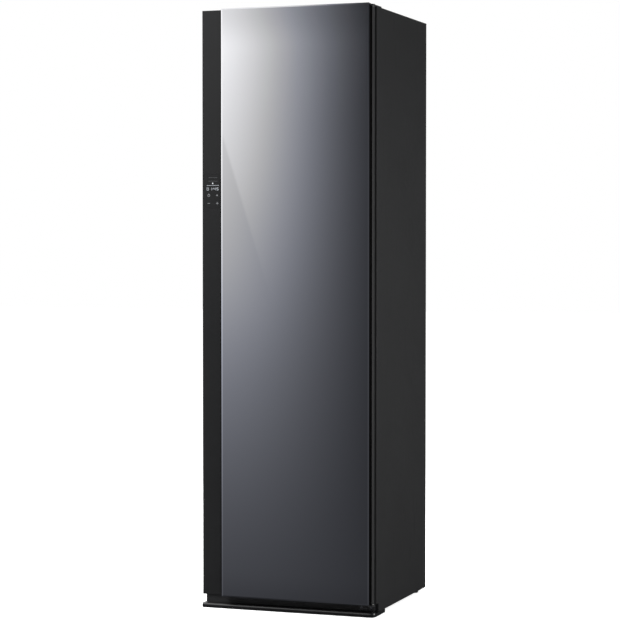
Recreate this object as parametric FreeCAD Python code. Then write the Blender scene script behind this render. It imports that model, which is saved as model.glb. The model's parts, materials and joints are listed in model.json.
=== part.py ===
import FreeCAD, Part
import math
import os

# Clothes care steam cabinet. Lengths are in millimetres and angles in degrees.
# +X is to the right of someone facing the door, +Y is towards the wall, +Z is up.
# The origin is on the floor, under the middle of the cabinet's footprint.

# ---------------------------------------------------------------- overall size
cabinet_width = 600.0
cabinet_depth = 596.0
cabinet_height = 1960.0

# ---------------------------------------------------------------- fits
fit = 0.3                   # slip clearance between pieces of one body
running = 0.05              # radial clearance of a shaft or pin in its bore
loose = 2.0                 # clearance round a piece that is lifted out by hand
past = 1.0                  # how far a cutting block runs past what it cuts

# ---------------------------------------------------------------- case
sheet = 1.2                 # painted steel sheet
fold_radius = 3.0
fold_return = 12.0
lid_thickness = 4.0
case_drop = 8.0             # the case lid lies this far below the door and column tops
panel_bottom = 12.0
toe_depth = 24.0
toe_gap = 3.0               # between the door's lower edge and the case beside the plinth
louvre_count = 9
louvre_pitch = 16.0
louvre_height = 4.0
louvre_width = 260.0

# ---------------------------------------------------------------- base
pan_bottom = 22.0
pan_rim = 26.0
pan_wall = 3.0
skid_width = 12.0           # floor trim beside the plinth, under each side panel
plinth_inset = 12.0         # the plinth's ends, in from the case's sides
plinth_wall = 2.5
trim_height = 16.0
trim_side_height = 11.0
trim_reach = 26.0           # how far the floor trim stands out in front of the case
trim_side_length = 90.0
trim_wall = 4.0
trim_corner = 14.0
trim_edge = 8.0             # rounding of the trim's upper front edge

# ---------------------------------------------------------------- feet
foot_radius = 16.0
foot_height = 8.0
stem_radius = 5.0
stem_top = 44.0
stem_boss = 9.0             # radius of the threaded bosses in the pan
stem_boss_height = 8.0
front_foot_inset = 55.0
front_foot_back = 60.0
rear_foot_out = 3.0         # rear feet beyond the chamber's right wall
rear_foot_gap = 15.0        # between the chamber's liner and a rear foot's boss

# ---------------------------------------------------------------- control column
column_depth = 9.0          # how far the column's face stands in front of the case
column_wall = 2.5
column_edge = 1.2
window_left_margin = 4.5    # from the column's left edge
window_right_margin = 11.5  # from the column's right edge
window_height = 112.0
window_centre_z = 1370.0
window_thickness = 1.5
window_lip = 3.0
board_thickness = 1.6
display_depth = 2.6
display_margin = 6.0
display_height = 16.0
display_rise = 12.0
touch_pad = 8.0
touch_pitch_x = 25.0
touch_pitch_z = 26.0
touch_drop = 14.0

# ---------------------------------------------------------------- chamber
left_wall = 89.0
right_wall = 31.0
rear_wall = 79.0
bay_lift = 11.0             # tank bay's underside above the pan's rim
top_bay = 107.0             # machinery space between the chamber ceiling and the lid
frame_sheet = 1.5
liner = 2.0
ceiling_sheet = 3.0
floor_top = 320.0
floor_sheet = 3.0
bay_depth = 134.0
bay_wall = 3.0
insulation = 24.0
divider_wall = 3.0
divider_height = 59.0
ledge_width = 10.0
ledge_height = 8.0
ledge_top = 420.0
vent_count = 7
vent_pitch = 22.0
vent_width = 10.0
vent_length = 45.0
vent_margin = 24.0

# ---------------------------------------------------------------- door
door_thickness = 39.0
seal_gap = 10.0
column_gap = 3.0
door_side_margin = 3.0
door_overlap = 14.0         # door past the chamber mouth's left edge
door_bottom_overlap = 18.0  # door past the mouth's lower edge
frame_bar = 12.0
frame_corner = 2.0
glass_thickness = 4.0
glass_left_margin = 8.0
glass_right_margin = 7.0
glass_drop = 1.0
glass_corner = 2.0
carrier_thickness = 6.0
carrier_margin = 2.0
door_liner_thickness = 2.0
gasket_width = 9.0
gasket_offset = 2.0
gasket_gap = 0.4
gasket_bead = 2.0

# ---------------------------------------------------------------- door hinges
hinge_inset_x = 12.0
hinge_pin_radius = 4.0
bush_wall = 3.0
bush_end_wall = 1.0
bush_flange = 1.0
bush_flange_radius = 9.0
bush_seat_gap = 1.0         # between a bush's flange and its bracket
bracket_thickness = 5.0
bracket_eye = 12.0
bracket_eye_gap = 4.0       # between the bracket's eye and the glass carrier
bracket_arm = 8.0
bracket_plate_width = 56.0
bracket_plate_depth = 44.0
bracket_setback = 14.0
bracket_flange = 4.0
bracket_trim_gap = 3.0      # between the bottom bracket's flange and the floor trim

# ---------------------------------------------------------------- trouser press
press_left_margin = 41.0    # from the chamber mouth's left edge
press_right_margin = 64.0   # from the chamber mouth's right edge
press_bottom = 640.0
press_height = 760.0
press_pad_thickness = 9.0
press_gap = 6.0
press_plate_thickness = 14.0
press_corner = 14.0
press_barrel = 7.0
press_pin = 3.0
press_pin_length = 14.0
press_lug_height = 20.0
press_end_gap = 4.0
press_hinge_out = 12.0
press_grip_width = 90.0
press_grip_depth = 6.0
press_rib_count = 5
press_rib_depth = 3.0
press_rib_width = 6.0

# ---------------------------------------------------------------- moving hanger rail
rail_drop = 50.0            # rail axis below the chamber ceiling
rail_radius = 11.0
rail_wall = 2.0
rail_length = 360.0
rail_shift_y = 5.0
arm_spacing = 170.0
arm_width = 12.0
arm_depth = 20.0
arm_collar = 5.0
stroke = 18.3               # rail travel each way
slot_margin = 3.0
drive_sheet = 3.0
drive_length = 370.0
drive_width = 130.0
rod_radius = 4.0
rod_spacing = 80.0
rod_rise = 19.0
rod_block = 14.0
rod_end_margin = 6.0
carriage_length = 210.0
carriage_sheet = 4.0
bush_block_length = 24.0
bush_block_half = 9.0
carriage_gap = 1.0
crank_radius = 20.0
crank_disc_radius = 27.0
crank_disc = 5.0
crank_clear = 4.0
crank_pin = 4.0
yoke_play = 1.4
motor_shaft = 5.0
motor_radius = 30.0
motor_lid_gap = 8.0
motor_boss = 12.0
bridge_width = 50.0
bridge_sheet = 3.0

# ---------------------------------------------------------------- garment hangers
hanger_places = (-130.0, 0.0)
hanger_end_gap = 26.65      # between a hanger's end and the chamber's rear
hanger_thickness = 14.0
hanger_neck = 56.0
hanger_fall = 72.0
hanger_body = 30.0
hanger_tip = 20.0
hanger_collar_half = 12.0
hanger_edge = 4.0
hook_wire = 3.0
hook_bend = 12.0
hook_end_angle = -25.0

# ---------------------------------------------------------------- shelf
shelf_thickness = 12.0
shelf_setback = 8.0
shelf_rear_gap = 12.0
shelf_border = 22.0
shelf_bar = 9.0
shelf_slot_count = 14
shelf_corner = 6.0

# ---------------------------------------------------------------- water tanks
tank_gap = 6.0
tank_height = 236.0
tank_wall = 3.0
tank_corner = 10.0
tank_front_gap = 6.0
tank_rear_gap = 6.0
tank_side_gap = 3.0
lid_plate = 3.0
lid_lip = 4.0
lid_grip_length = 110.0
lid_grip_shift = 27.5       # grip centre, left of the tank's centre
lid_grip_width = 16.0
lid_grip_height = 18.0
lid_grip_bar = 6.0
neck_radius = 18.0
neck_wall = 3.0
neck_height = 6.0
cap_wall = 3.0
cap_top = 3.0
cap_rib_count = 10
cap_rib = 2.0
valve_radius = 12.0
valve_height = 6.0
valve_clear = 2.0

# ---------------------------------------------------------------- lint filter
filter_width = 250.0
filter_thickness = 26.0
filter_depth = 72.0
filter_flange = 5.0
filter_flange_height = 4.0
filter_back = 30.0
filter_wall = 3.0
filter_mesh = 1.0
filter_grip = 60.0
filter_grip_height = 8.0

# ---------------------------------------------------------------- steam, water and air
boiler_width = 60.0
boiler_depth = 120.0
boiler_height = 120.0
boiler_leg = 20.0
boiler_side_gap = 10.0
boiler_front_gap = 20.0
boiler_corner = 10.0
steam_tube = 6.0
nozzle_radius = 16.0
nozzle_height = 9.0
nozzle_lip = 3.0
nozzle_slot_count = 5
nozzle_slot = 2.0
nozzle_slot_margin = 1.0
pump_radius = 21.0
pump_height = 62.0
pump_foot = 52.0
pump_foot_thickness = 4.0
pump_spout = 5.0
pump_spout_length = 14.0
supply_pump_gap = 22.0
drain_pump_in = 62.0
coil_left_gap = 30.0        # between the boiler and the coils
coil_roof_gap = 10.0        # between the coils and the lint filter's lower edge
coil_depth = 46.0
coil_lift = 8.0
coil_front_gap = 26.0
coil_gap = 22.0
coil_right_gap = 130.0
coil_fin_count = 24
coil_fin = 1.6
coil_core_inset = 5.0
coil_tube = 5.0
coil_tube_rows = 3
coil_bend = 9.2
fan_radius = 62.0
fan_width = 52.0
fan_blades = 20
fan_blade_length = 16.0
fan_blade = 2.0
fan_disc = 2.5
fan_hub = 14.0
fan_shaft = 4.0
fan_side_clear = 4.0
fan_tip_clear = 8.0
scroll_growth = 14.0
scroll_wall = 2.5
scroll_inlet = 46.0
scroll_duct = 62.0
scroll_front_gap = 40.0
scroll_left_gap = 70.0
scroll_lift = 6.0
fan_motor_radius = 34.0
fan_motor_length = 44.0

# ---------------------------------------------------------------- heat pump
compressor_radius = 54.0
compressor_body = 118.0
compressor_dome = 26.0
compressor_rim = 2.6        # straight edge under the dome's round
compressor_lift = 12.0
compressor_side_gap = 16.0
compressor_rear_gap = 20.0
compressor_plate = 3.0
mount_radius = 9.0
mount_circle = 58.0
mount_count = 3
mount_turn = 270.0
terminal_size = 34.0
pipe_radius = 4.0
pipe_bend = 14.0
pipe_roof_gap = 41.0        # between the cold pipe's axis and the machine space's roof
pipe_run = 22.0
pipe_low = 30.0
pipe_side = 16.0

# ---------------------------------------------------------------- electronics
power_board_length = 170.0
power_board_height = 150.0
power_board_rise = 50.0
power_board_front = 70.0
standoff = 6.0
heat_sink_depth = 16.0
heat_sink_length = 50.0
heat_sink_margin = 18.0
capacitor_radius = 10.0
capacitor_length = 20.0
capacitor_count = 3
capacitor_pitch = 26.0
inlet_radius = 11.0
inlet_flange = 17.0
inlet_length = 26.0
inlet_bore = 4.0
inlet_inset = 26.0          # from the chamber's left wall
inlet_z = 90.0

# ---------------------------------------------------------------- screws
screw_radius = 2.0
screw_head = 1.2
screw_head_radius = 4.5
screw_length = 9.0
screw_rows = 5
screw_margin = 40.0
bracket_screw_pitch = 32.0

# ---------------------------------------------------------------- places worked out from them
x_left = -cabinet_width / 2
x_right = cabinet_width / 2
y_face = -cabinet_depth / 2
y_rear = cabinet_depth / 2
y_case = y_face + door_thickness + seal_gap
y_rear_sheet = y_rear - screw_head          # outside of the rear panel
y_side_rear = y_rear_sheet - sheet          # rear edge of the side panels
y_inside_rear = y_side_rear - sheet
z_case = cabinet_height - case_drop
z_side_top = z_case - lid_thickness

y_frame = y_case + sheet                    # front of the chamber's mouth frame
y_mouth = y_frame + frame_sheet
mouth_left = x_left + left_wall
mouth_right = x_right - right_wall
mouth_top = z_case - top_bay
y_chamber_rear = y_rear - rear_wall - liner
ceiling_top = mouth_top + ceiling_sheet
pan_floor = pan_bottom + pan_wall
pan_top = pan_bottom + pan_rim
mouth_bottom = pan_top + bay_lift + bay_wall
door_bottom = mouth_bottom - door_bottom_overlap
toe_top = door_bottom - toe_gap
x_inside = x_right - fold_radius            # half width inside the side panels' folds
y_bay = y_mouth + bay_depth                 # front of the wall behind the tanks
y_machine = y_bay + bay_wall
z_machine = floor_top - floor_sheet
chamber_centre = (mouth_left + mouth_right) / 2

door_left = mouth_left - door_overlap
column_right = door_left - column_gap
window_left = x_left + window_left_margin
window_right = column_right - window_right_margin
window_x = (window_left + window_right) / 2
window_width = window_right - window_left
y_column = y_case - column_depth
door_right = x_right - door_side_margin
door_top = z_case - bush_flange - bush_seat_gap
glass_left = door_left + glass_left_margin
glass_right = door_right - glass_right_margin
glass_bottom = door_bottom - glass_drop
y_glass_back = y_face + glass_thickness
y_carrier_back = y_glass_back + carrier_thickness
y_door_back = y_face + door_thickness
y_core_back = y_door_back - door_liner_thickness
hinge_x = x_right - hinge_inset_x
hinge_y = y_carrier_back + bracket_eye_gap + bracket_eye
bush_length = frame_bar - bush_end_wall
z_bracket_low = door_bottom - bush_flange - bush_seat_gap
bracket_flange_drop = z_bracket_low - bracket_thickness - bracket_trim_gap - trim_height

rail_y = (y_mouth + y_chamber_rear) / 2 + rail_shift_y
rail_z = mouth_top - rail_drop
rail_x = chamber_centre
hanger_half = y_chamber_rear - rail_y - hanger_end_gap
drive_top = ceiling_top + drive_sheet
rod_z = drive_top + rod_rise
carriage_bottom = rod_z + bush_block_half + carriage_gap
carriage_top = carriage_bottom + carriage_sheet
disc_bottom = carriage_top + crank_clear
disc_top = disc_bottom + crank_disc
bridge_bottom = disc_top + crank_clear
bridge_top = bridge_bottom + bridge_sheet
motor_height = z_side_top - motor_lid_gap - bridge_top

press_left = mouth_left + press_left_margin
press_right = mouth_right - press_right_margin
press_hinge_x = press_right + press_hinge_out
press_top = press_bottom + press_height
y_press_pad = y_door_back + press_pad_thickness
y_press_in = y_press_pad + press_gap
y_press_out = y_press_in + press_plate_thickness
press_hinge_y = (y_press_in + y_press_out) / 2

filter_y = y_machine + filter_back
filter_x = chamber_centre
coil_bottom = pan_floor + coil_lift
coil_top = floor_top - filter_depth - coil_roof_gap

X = FreeCAD.Vector(1, 0, 0)
Y = FreeCAD.Vector(0, 1, 0)
Z = FreeCAD.Vector(0, 0, 1)


# ================================================================ small helpers
def point(x, y, z):
    return FreeCAD.Vector(x, y, z)


def box(x0, x1, y0, y1, z0, z1):
    """A block between two corners."""
    corner = point(min(x0, x1), min(y0, y1), min(z0, z1))
    return Part.makeBox(abs(x1 - x0), abs(y1 - y0), abs(z1 - z0), corner)


def rod(start, direction, radius, length):
    """A round bar from a start point along a direction."""
    return Part.makeCylinder(radius, length, start, direction)


def fuse(shapes):
    """One solid from pieces that touch or overlap."""
    whole = shapes[0]
    for extra in shapes[1:]:
        whole = whole.fuse(extra)
    return whole.removeSplitter()


def cut(shape, tools):
    """A shape with every tool taken away."""
    for tool in tools:
        shape = shape.cut(tool)
    return shape.removeSplitter()


def edges_along(shape, direction, keep=None):
    """The straight edges parallel to a direction whose middle point passes keep."""
    found = []
    for edge in shape.Edges:
        if not isinstance(edge.Curve, Part.Line):
            continue
        run = edge.Vertexes[-1].Point - edge.Vertexes[0].Point
        along = abs(run.normalize().dot(direction)) > 0.999
        middle = edge.CenterOfMass
        if along and (keep is None or keep(middle)):
            found.append(edge)
    return found


def rounded(shape, direction, radius, keep=None):
    """A shape with its edges along one direction filleted."""
    return shape.makeFillet(radius, edges_along(shape, direction, keep))


def ring_plate(outer, inner, y0, y1):
    """A rectangular ring in the XZ plane; outer and inner are (x0, x1, z0, z1)."""
    whole = box(outer[0], outer[1], y0, y1, outer[2], outer[3])
    hole = box(inner[0], inner[1], y0 - past, y1 + past, inner[2], inner[3])
    return whole.cut(hole)


def path_wire(points, bend):
    """Straight runs joined by tangent arcs of one bend radius."""
    edges = []
    start = points[0]
    for before, corner, after in zip(points, points[1:], points[2:]):
        come = (corner - before).normalize()
        leave = (after - corner).normalize()
        turn = come.getAngle(leave)
        setback = bend * math.tan(turn / 2)
        arc_start = corner - come * setback
        arc_end = corner + leave * setback
        inward = (leave - come).normalize()
        centre = corner + inward * (bend / math.cos(turn / 2))
        arc_middle = centre - inward * bend
        edges.append(Part.LineSegment(start, arc_start).toShape())
        edges.append(Part.Arc(arc_start, arc_middle, arc_end).toShape())
        start = arc_end
    edges.append(Part.LineSegment(start, points[-1]).toShape())
    return Part.Wire(edges)


def tube_along(wire, start, direction, radius):
    """A round bar swept along a wire."""
    profile = Part.Wire(Part.makeCircle(radius, start, direction))
    return wire.makePipeShell([profile], True, False)


# ================================================================ screws
def rear_screw_places():
    """Points on the rear panel's outside, up both side folds."""
    low = panel_bottom + screw_margin
    step = (z_side_top - screw_margin - low) / (screw_rows - 1)
    side = x_right - fold_return / 2
    heights = [low + row * step for row in range(screw_rows)]
    return [point(sign * side, y_rear_sheet, z) for sign in (-1, 1) for z in heights]


def top_screw_places():
    """Points on the top hinge bracket's plate."""
    middle_x = hinge_x + bracket_arm - bracket_plate_width / 2
    middle_y = y_case + bracket_setback + bracket_plate_depth / 2
    places = []
    for sign in (-1, 1):
        places.append(point(middle_x + sign * bracket_screw_pitch / 2, middle_y, z_case + bracket_thickness))
    return places


def bottom_screw_places():
    """Points on the bottom hinge bracket's upright flange."""
    middle_x = hinge_x + bracket_arm - bracket_plate_width / 2
    middle_z = z_bracket_low - bracket_thickness - bracket_flange_drop / 2
    places = []
    for sign in (-1, 1):
        places.append(point(middle_x + sign * bracket_screw_pitch / 2, y_case - bracket_flange, middle_z))
    return places


def screw_shanks():
    """Every screw's shank, also used to drill its hole."""
    shanks = [rod(place, -Y, screw_radius, screw_length) for place in rear_screw_places()]
    shanks += [rod(place, -Z, screw_radius, screw_length) for place in top_screw_places()]
    shanks += [rod(place, Y, screw_radius, screw_length) for place in bottom_screw_places()]
    return shanks


def case_screws():
    """The case and hinge screws, as separate solids."""
    heads = [rod(place, Y, screw_head_radius, screw_head) for place in rear_screw_places()]
    heads += [rod(place, Z, screw_head_radius, screw_head) for place in top_screw_places()]
    heads += [rod(place, -Y, screw_head_radius, screw_head) for place in bottom_screw_places()]
    return [fuse([head, shank]) for head, shank in zip(heads, screw_shanks())]


# ================================================================ case
def side_panel(sign):
    """A side sheet folded inwards at its front and rear edges."""
    outside = sign * x_right
    inside = sign * (x_right - fold_return)
    blank = box(inside, outside, y_case, y_side_rear, panel_bottom, z_side_top)
    blank = rounded(blank, Z, fold_radius, lambda p: abs(p.x - outside) < fit)
    hollow_side = sign * (x_right - sheet)
    hollow = box(inside - sign, hollow_side, y_case + sheet, y_inside_rear, panel_bottom - past,
                 z_side_top + past)
    hollow = rounded(hollow, Z, fold_radius - sheet, lambda p: abs(p.x - hollow_side) < fit)
    toe = box(inside - sign, outside + sign, y_case - past, y_case + toe_depth, panel_bottom - past, toe_top)
    return cut(blank, [hollow, toe] + screw_shanks())


def rear_panel():
    """The flat rear sheet with machine louvres and the mains gland's hole."""
    half = x_right - fold_radius
    sheet_plate = box(-half, half, y_side_rear, y_rear_sheet, panel_bottom, z_side_top)
    tools = []
    for row in range(louvre_count):
        low = pan_top + louvre_pitch * (row + 1)
        slot = box(-louvre_width / 2, louvre_width / 2, y_side_rear - past, y_rear, low, low + louvre_height)
        tools.append(slot)
    tools.append(rod(point(mouth_left + inlet_inset, y_side_rear - past, inlet_z), Y, inlet_radius,
                     2 * sheet + 2 * past))
    return cut(sheet_plate, tools + screw_shanks())


def top_panel():
    """The case lid."""
    plate = box(x_left, x_right, y_case, y_side_rear + sheet, z_side_top, z_case)
    plate = rounded(plate, Z, fold_radius)
    return cut(plate, screw_shanks())


def mouth_frame():
    """The steel face round the chamber's mouth that the door seal meets."""
    outer = (-x_inside, x_inside, toe_top, z_side_top)
    inner = (mouth_left, mouth_right, mouth_bottom, mouth_top)
    return ring_plate(outer, inner, y_frame, y_mouth)


def base_pan():
    """The tray that carries the machinery and the feet."""
    y_front = y_case + toe_depth
    tray = box(-x_inside, x_inside, y_front, y_inside_rear, pan_bottom, pan_top)
    hollow = box(-x_inside + pan_wall, x_inside - pan_wall, y_front + pan_wall, y_inside_rear - pan_wall,
                 pan_floor, pan_top + past)
    length = pan_wall + stem_boss_height + 2 * past
    bosses = []
    holes = []
    for places, radius in ((front_foot_places(), stem_radius + running), (rear_foot_places(), stem_radius)):
        for x, y in places:
            bosses.append(rod(point(x, y, pan_floor), Z, stem_boss, stem_boss_height))
            holes.append(rod(point(x, y, pan_bottom - past), Z, radius, length))
    return cut(fuse([cut(tray, [hollow])] + bosses), holes)


def front_plinth():
    """The black kick board under the door, set in at both ends, with an ear across each end of the toe."""
    y_back = y_case + toe_depth
    x_end = x_right - plinth_inset
    block = box(-x_end, x_end, y_case, y_back, trim_height, toe_top)
    ears = [box(sign * x_end, sign * x_right, y_back - plinth_wall, y_back, trim_side_height, toe_top)
            for sign in (-1, 1)]
    hollow = box(-x_end + plinth_wall, x_end - plinth_wall, y_case + plinth_wall, y_back + past,
                 trim_height + plinth_wall, toe_top - plinth_wall)
    return cut(fuse([block] + ears), [hollow] + screw_shanks())


def base_trim():
    """The low skid on the floor that wraps the front and both front corners."""
    front = box(x_left, x_right, y_case - trim_reach, y_case, 0, trim_height)
    front = rounded(front, Z, trim_corner, lambda p: p.y < y_case - trim_reach / 2)
    top_front = [edge for edge in front.Edges
                 if edge.CenterOfMass.z > trim_height - fit and edge.CenterOfMass.y < y_case - fit]
    front = front.makeFillet(trim_edge, top_front)
    hollow = box(x_left + trim_corner, x_right - trim_corner, y_case - trim_reach + trim_wall,
                 y_case - trim_wall, -past, trim_height - trim_wall)
    pieces = [front.cut(hollow)]
    for sign in (-1, 1):
        outside = sign * x_right
        inside = outside - sign * skid_width
        pieces.append(box(inside, outside, y_case, y_case + trim_side_length, 0, trim_side_height))
    back = box(x_left + skid_width, x_right - skid_width, y_case, y_case + toe_depth,
               trim_height - trim_wall, trim_height)
    return fuse(pieces + [back])


# ================================================================ feet
def front_foot_places():
    """Axes of the two levelling feet."""
    y = y_case + front_foot_back
    return [(x_left + front_foot_inset, y), (x_right - front_foot_inset, y)]


def rear_foot_places():
    """Axes of the two fixed rear feet."""
    x = mouth_right + rear_foot_out
    y = y_chamber_rear + liner + rear_foot_gap + stem_boss
    return [(-x, y), (x, y)]


def foot(place):
    """A foot pad on its threaded stem, drawn at the thread's outer radius."""
    pad = rod(point(place[0], place[1], 0), Z, foot_radius, foot_height)
    pad = pad.makeFillet(foot_height / 4, [pad.Edges[0]])
    stem = rod(point(place[0], place[1], foot_height), Z, stem_radius, stem_top - foot_height)
    return fuse([pad, stem])


# ================================================================ control column
def window_box(margin, y0, y1):
    """A block as large as the display window plus a margin."""
    half_x = window_width / 2 + margin
    half_z = window_height / 2 + margin
    return box(window_x - half_x, window_x + half_x, y0, y1, window_centre_z - half_z,
               window_centre_z + half_z)


def control_column():
    """The narrow fixed cover left of the door, hollow behind its face."""
    cover = box(x_left, column_right, y_column, y_case, toe_top, cabinet_height)
    face_edges = [edge for edge in cover.Edges if edge.CenterOfMass.y < y_column + fit]
    cover = cover.makeFillet(column_edge, face_edges)
    hollow = box(x_left + column_wall, column_right - column_wall, y_column + column_wall, y_case + past,
                 toe_top + column_wall, z_side_top)
    seat = window_box(fit, y_column - past, y_column + window_thickness)
    opening = window_box(-window_lip, y_column, y_case)
    return cut(cover, [hollow, seat, opening])


def display_window():
    """The smoked window over the display and touch marks."""
    return rounded(window_box(0, y_column, y_column + window_thickness), Y, window_lip / 2)


def display_board():
    """The circuit board with the number display and four touch pads."""
    back = y_case
    front = back - board_thickness
    half_x = window_width / 2 - window_lip
    half_z = window_height / 2
    pieces = [box(window_x - half_x, window_x + half_x, front, back, window_centre_z - half_z,
                  window_centre_z + half_z)]
    display_z = window_centre_z + display_rise
    pieces.append(box(window_left + display_margin, window_right - display_margin, front - display_depth,
                      front, display_z - display_height / 2, display_z + display_height / 2))
    for column in (-1, 1):
        for row in (0, 1):
            x = window_x + column * touch_pitch_x / 2
            z = window_centre_z - touch_drop - row * touch_pitch_z
            pieces.append(rod(point(x, front, z), -Y, touch_pad / 2, display_depth))
    return fuse(pieces)


# ================================================================ chamber
def liner_side(sign):
    """A chamber side wall with the ledge that carries the shelf."""
    inner = mouth_left if sign < 0 else mouth_right
    outer = inner + sign * liner
    wall = box(inner, outer, y_mouth, y_chamber_rear + liner, pan_floor, mouth_top)
    ledge = box(inner, inner - sign * ledge_width, y_machine, y_chamber_rear, ledge_top - ledge_height,
                ledge_top)
    toe = box(inner - sign, outer + sign, y_mouth - past, y_case + toe_depth + pan_wall, pan_floor - past,
              pan_top)
    return cut(fuse([wall, ledge]), [toe])


def liner_rear():
    """The chamber's rear wall with two groups of air outlets."""
    wall = box(mouth_left, mouth_right, y_chamber_rear, y_chamber_rear + liner, floor_top, mouth_top)
    tools = []
    for group_z in (floor_top + vent_margin, ledge_top + shelf_thickness + vent_margin):
        for index in range(vent_count):
            x = chamber_centre + (index - (vent_count - 1) / 2) * vent_pitch
            tools.append(box(x - vent_width / 2, x + vent_width / 2, y_chamber_rear - past,
                             y_chamber_rear + liner + past, group_z, group_z + vent_length))
    return cut(wall, tools)


def arm_slots(z0, z1):
    """The slots that the rail's two arms move in."""
    half = arm_width / 2 + stroke + slot_margin
    slots = []
    for sign in (-1, 1):
        x = rail_x + sign * arm_spacing / 2
        slots.append(box(x - half, x + half, rail_y - arm_depth / 2 - slot_margin,
                         rail_y + arm_depth / 2 + slot_margin, z0, z1))
    return slots


def chamber_ceiling():
    """The panel over the chamber."""
    plate = box(mouth_left - liner, mouth_right + liner, y_mouth, y_chamber_rear + liner, mouth_top,
                ceiling_top)
    return cut(plate, arm_slots(mouth_top - past, ceiling_top + past))


def chamber_floor():
    """The panel over the machine space, open for the filter, the nozzle and the warm air."""
    plate = box(mouth_left, mouth_right, y_bay, y_inside_rear, z_machine, floor_top)
    half = filter_width / 2 + fit
    filter_slot = box(filter_x - half, filter_x + half, filter_y - filter_thickness / 2 - fit,
                      filter_y + filter_thickness / 2 + fit, z_machine - past, floor_top + past)
    nozzle_hole = rod(point(nozzle_x(), nozzle_y(), z_machine - past), Z, steam_tube, floor_sheet + 2 * past)
    x0, x1, y0, y1 = duct_plan()
    duct_hole = box(x0, x1, y0, min(y1, y_chamber_rear - liner), z_machine - past, floor_top + past)
    return cut(plate, [filter_slot, nozzle_hole, duct_hole])


def tank_bay():
    """The moulding that the tanks stand in: a floor, a rear wall, a divider and two valve seats."""
    floor = box(mouth_left, mouth_right, y_mouth, y_bay, mouth_bottom - bay_wall, mouth_bottom)
    wall = box(mouth_left, mouth_right, y_bay, y_machine, pan_floor, z_machine)
    divider = box(chamber_centre - divider_wall / 2, chamber_centre + divider_wall / 2, y_mouth, y_bay,
                  mouth_bottom, mouth_bottom + divider_height)
    seats = [rod(point(tank_middle_x(sign), tank_middle_y(), mouth_bottom), Z, valve_radius, valve_height)
             for sign in (-1, 1)]
    return fuse([floor, wall, divider] + seats)


def insulation_slabs():
    """Foam behind the left, right and rear chamber walls."""
    left = box(mouth_left - liner - insulation, mouth_left - liner, y_mouth, y_inside_rear, pan_top,
               ceiling_top)
    right = box(mouth_right + liner, x_inside, y_mouth, y_inside_rear, pan_top, ceiling_top)
    rear = box(mouth_left, mouth_right, y_chamber_rear + liner, y_chamber_rear + liner + insulation,
               floor_top, ceiling_top)
    return [cut(slab, screw_shanks()) for slab in (left, right, rear)]


# ================================================================ door hinges
def top_hinge_bracket():
    """The plate on the case lid that reaches out over the door's corner."""
    z0 = z_case
    z1 = z_case + bracket_thickness
    right = hinge_x + bracket_arm
    y_plate = y_case + bracket_setback
    eye = rod(point(hinge_x, hinge_y, z0), Z, bracket_eye, bracket_thickness)
    arm = box(hinge_x - bracket_eye, right, hinge_y, y_plate, z0, z1)
    plate = box(right - bracket_plate_width, right, y_plate, y_plate + bracket_plate_depth, z0, z1)
    bore = rod(point(hinge_x, hinge_y, z0 - past), Z, hinge_pin_radius, bracket_thickness + 2 * past)
    return cut(fuse([eye, arm, plate]), [bore] + screw_shanks())


def bottom_hinge_bracket():
    """The angle on the plinth that carries the door."""
    z1 = z_bracket_low
    z0 = z1 - bracket_thickness
    right = hinge_x + bracket_arm
    eye = rod(point(hinge_x, hinge_y, z0), Z, bracket_eye, bracket_thickness)
    arm = box(hinge_x - bracket_eye, right, hinge_y, y_case, z0, z1)
    flange = box(right - bracket_plate_width, right, y_case - bracket_flange, y_case,
                 z0 - bracket_flange_drop, z1)
    bore = rod(point(hinge_x, hinge_y, z0 - past), Z, hinge_pin_radius, bracket_thickness + 2 * past)
    return cut(fuse([eye, arm, flange]), [bore] + screw_shanks())


def hinge_pins():
    """The top and bottom door pins."""
    top_start = door_top - bush_length + bush_flange
    top_length = z_case + bracket_thickness - top_start
    low_start = z_bracket_low - bracket_thickness
    low_length = door_bottom + bush_length - bush_flange - low_start
    return [rod(point(hinge_x, hinge_y, top_start), Z, hinge_pin_radius, top_length),
            rod(point(hinge_x, hinge_y, low_start), Z, hinge_pin_radius, low_length)]


def bush(z_face, direction):
    """A flanged bush let into the door frame's end, its flange outside."""
    inward = direction * -1
    face = point(hinge_x, hinge_y, z_face)
    sleeve = rod(face, inward, hinge_pin_radius + bush_wall, bush_length)
    flange = rod(face, direction, bush_flange_radius, bush_flange)
    bore = rod(face + direction * (bush_flange + past), inward, hinge_pin_radius + running,
               bush_length + bush_flange + 2 * past)
    return fuse([sleeve, flange]).cut(bore)


def door_bushes():
    """The top and bottom door bushes."""
    return [bush(door_top, Z), bush(door_bottom, Z * -1)]


# ================================================================ door
def door_frame():
    """The door's outer frame with the plate that the glass is bonded to."""
    ring = box(door_left, door_right, y_carrier_back, y_core_back, door_bottom, door_top)
    ring = rounded(ring, Z, frame_corner)
    hollow = box(door_left + frame_bar, door_right - frame_bar, y_carrier_back - past, y_core_back + past,
                 door_bottom + frame_bar, door_top - frame_bar)
    carrier = box(glass_left - carrier_margin, glass_right + carrier_margin, y_glass_back, y_carrier_back,
                  glass_bottom + carrier_margin, cabinet_height - carrier_margin)
    bores = [rod(point(hinge_x, hinge_y, door_top + past), -Z, hinge_pin_radius + bush_wall,
                 bush_length + past),
             rod(point(hinge_x, hinge_y, door_bottom - past), Z, hinge_pin_radius + bush_wall,
                 bush_length + past)]
    return cut(fuse([ring.cut(hollow), carrier]), bores)


def door_glass():
    """The mirror glass panel that covers the door's whole front."""
    pane = box(glass_left, glass_right, y_face, y_glass_back, glass_bottom, cabinet_height)
    return rounded(pane, Y, glass_corner)


def door_core():
    """The foam core inside the door frame."""
    return box(door_left + frame_bar, door_right - frame_bar, y_carrier_back, y_core_back,
               door_bottom + frame_bar, door_top - frame_bar)


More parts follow.
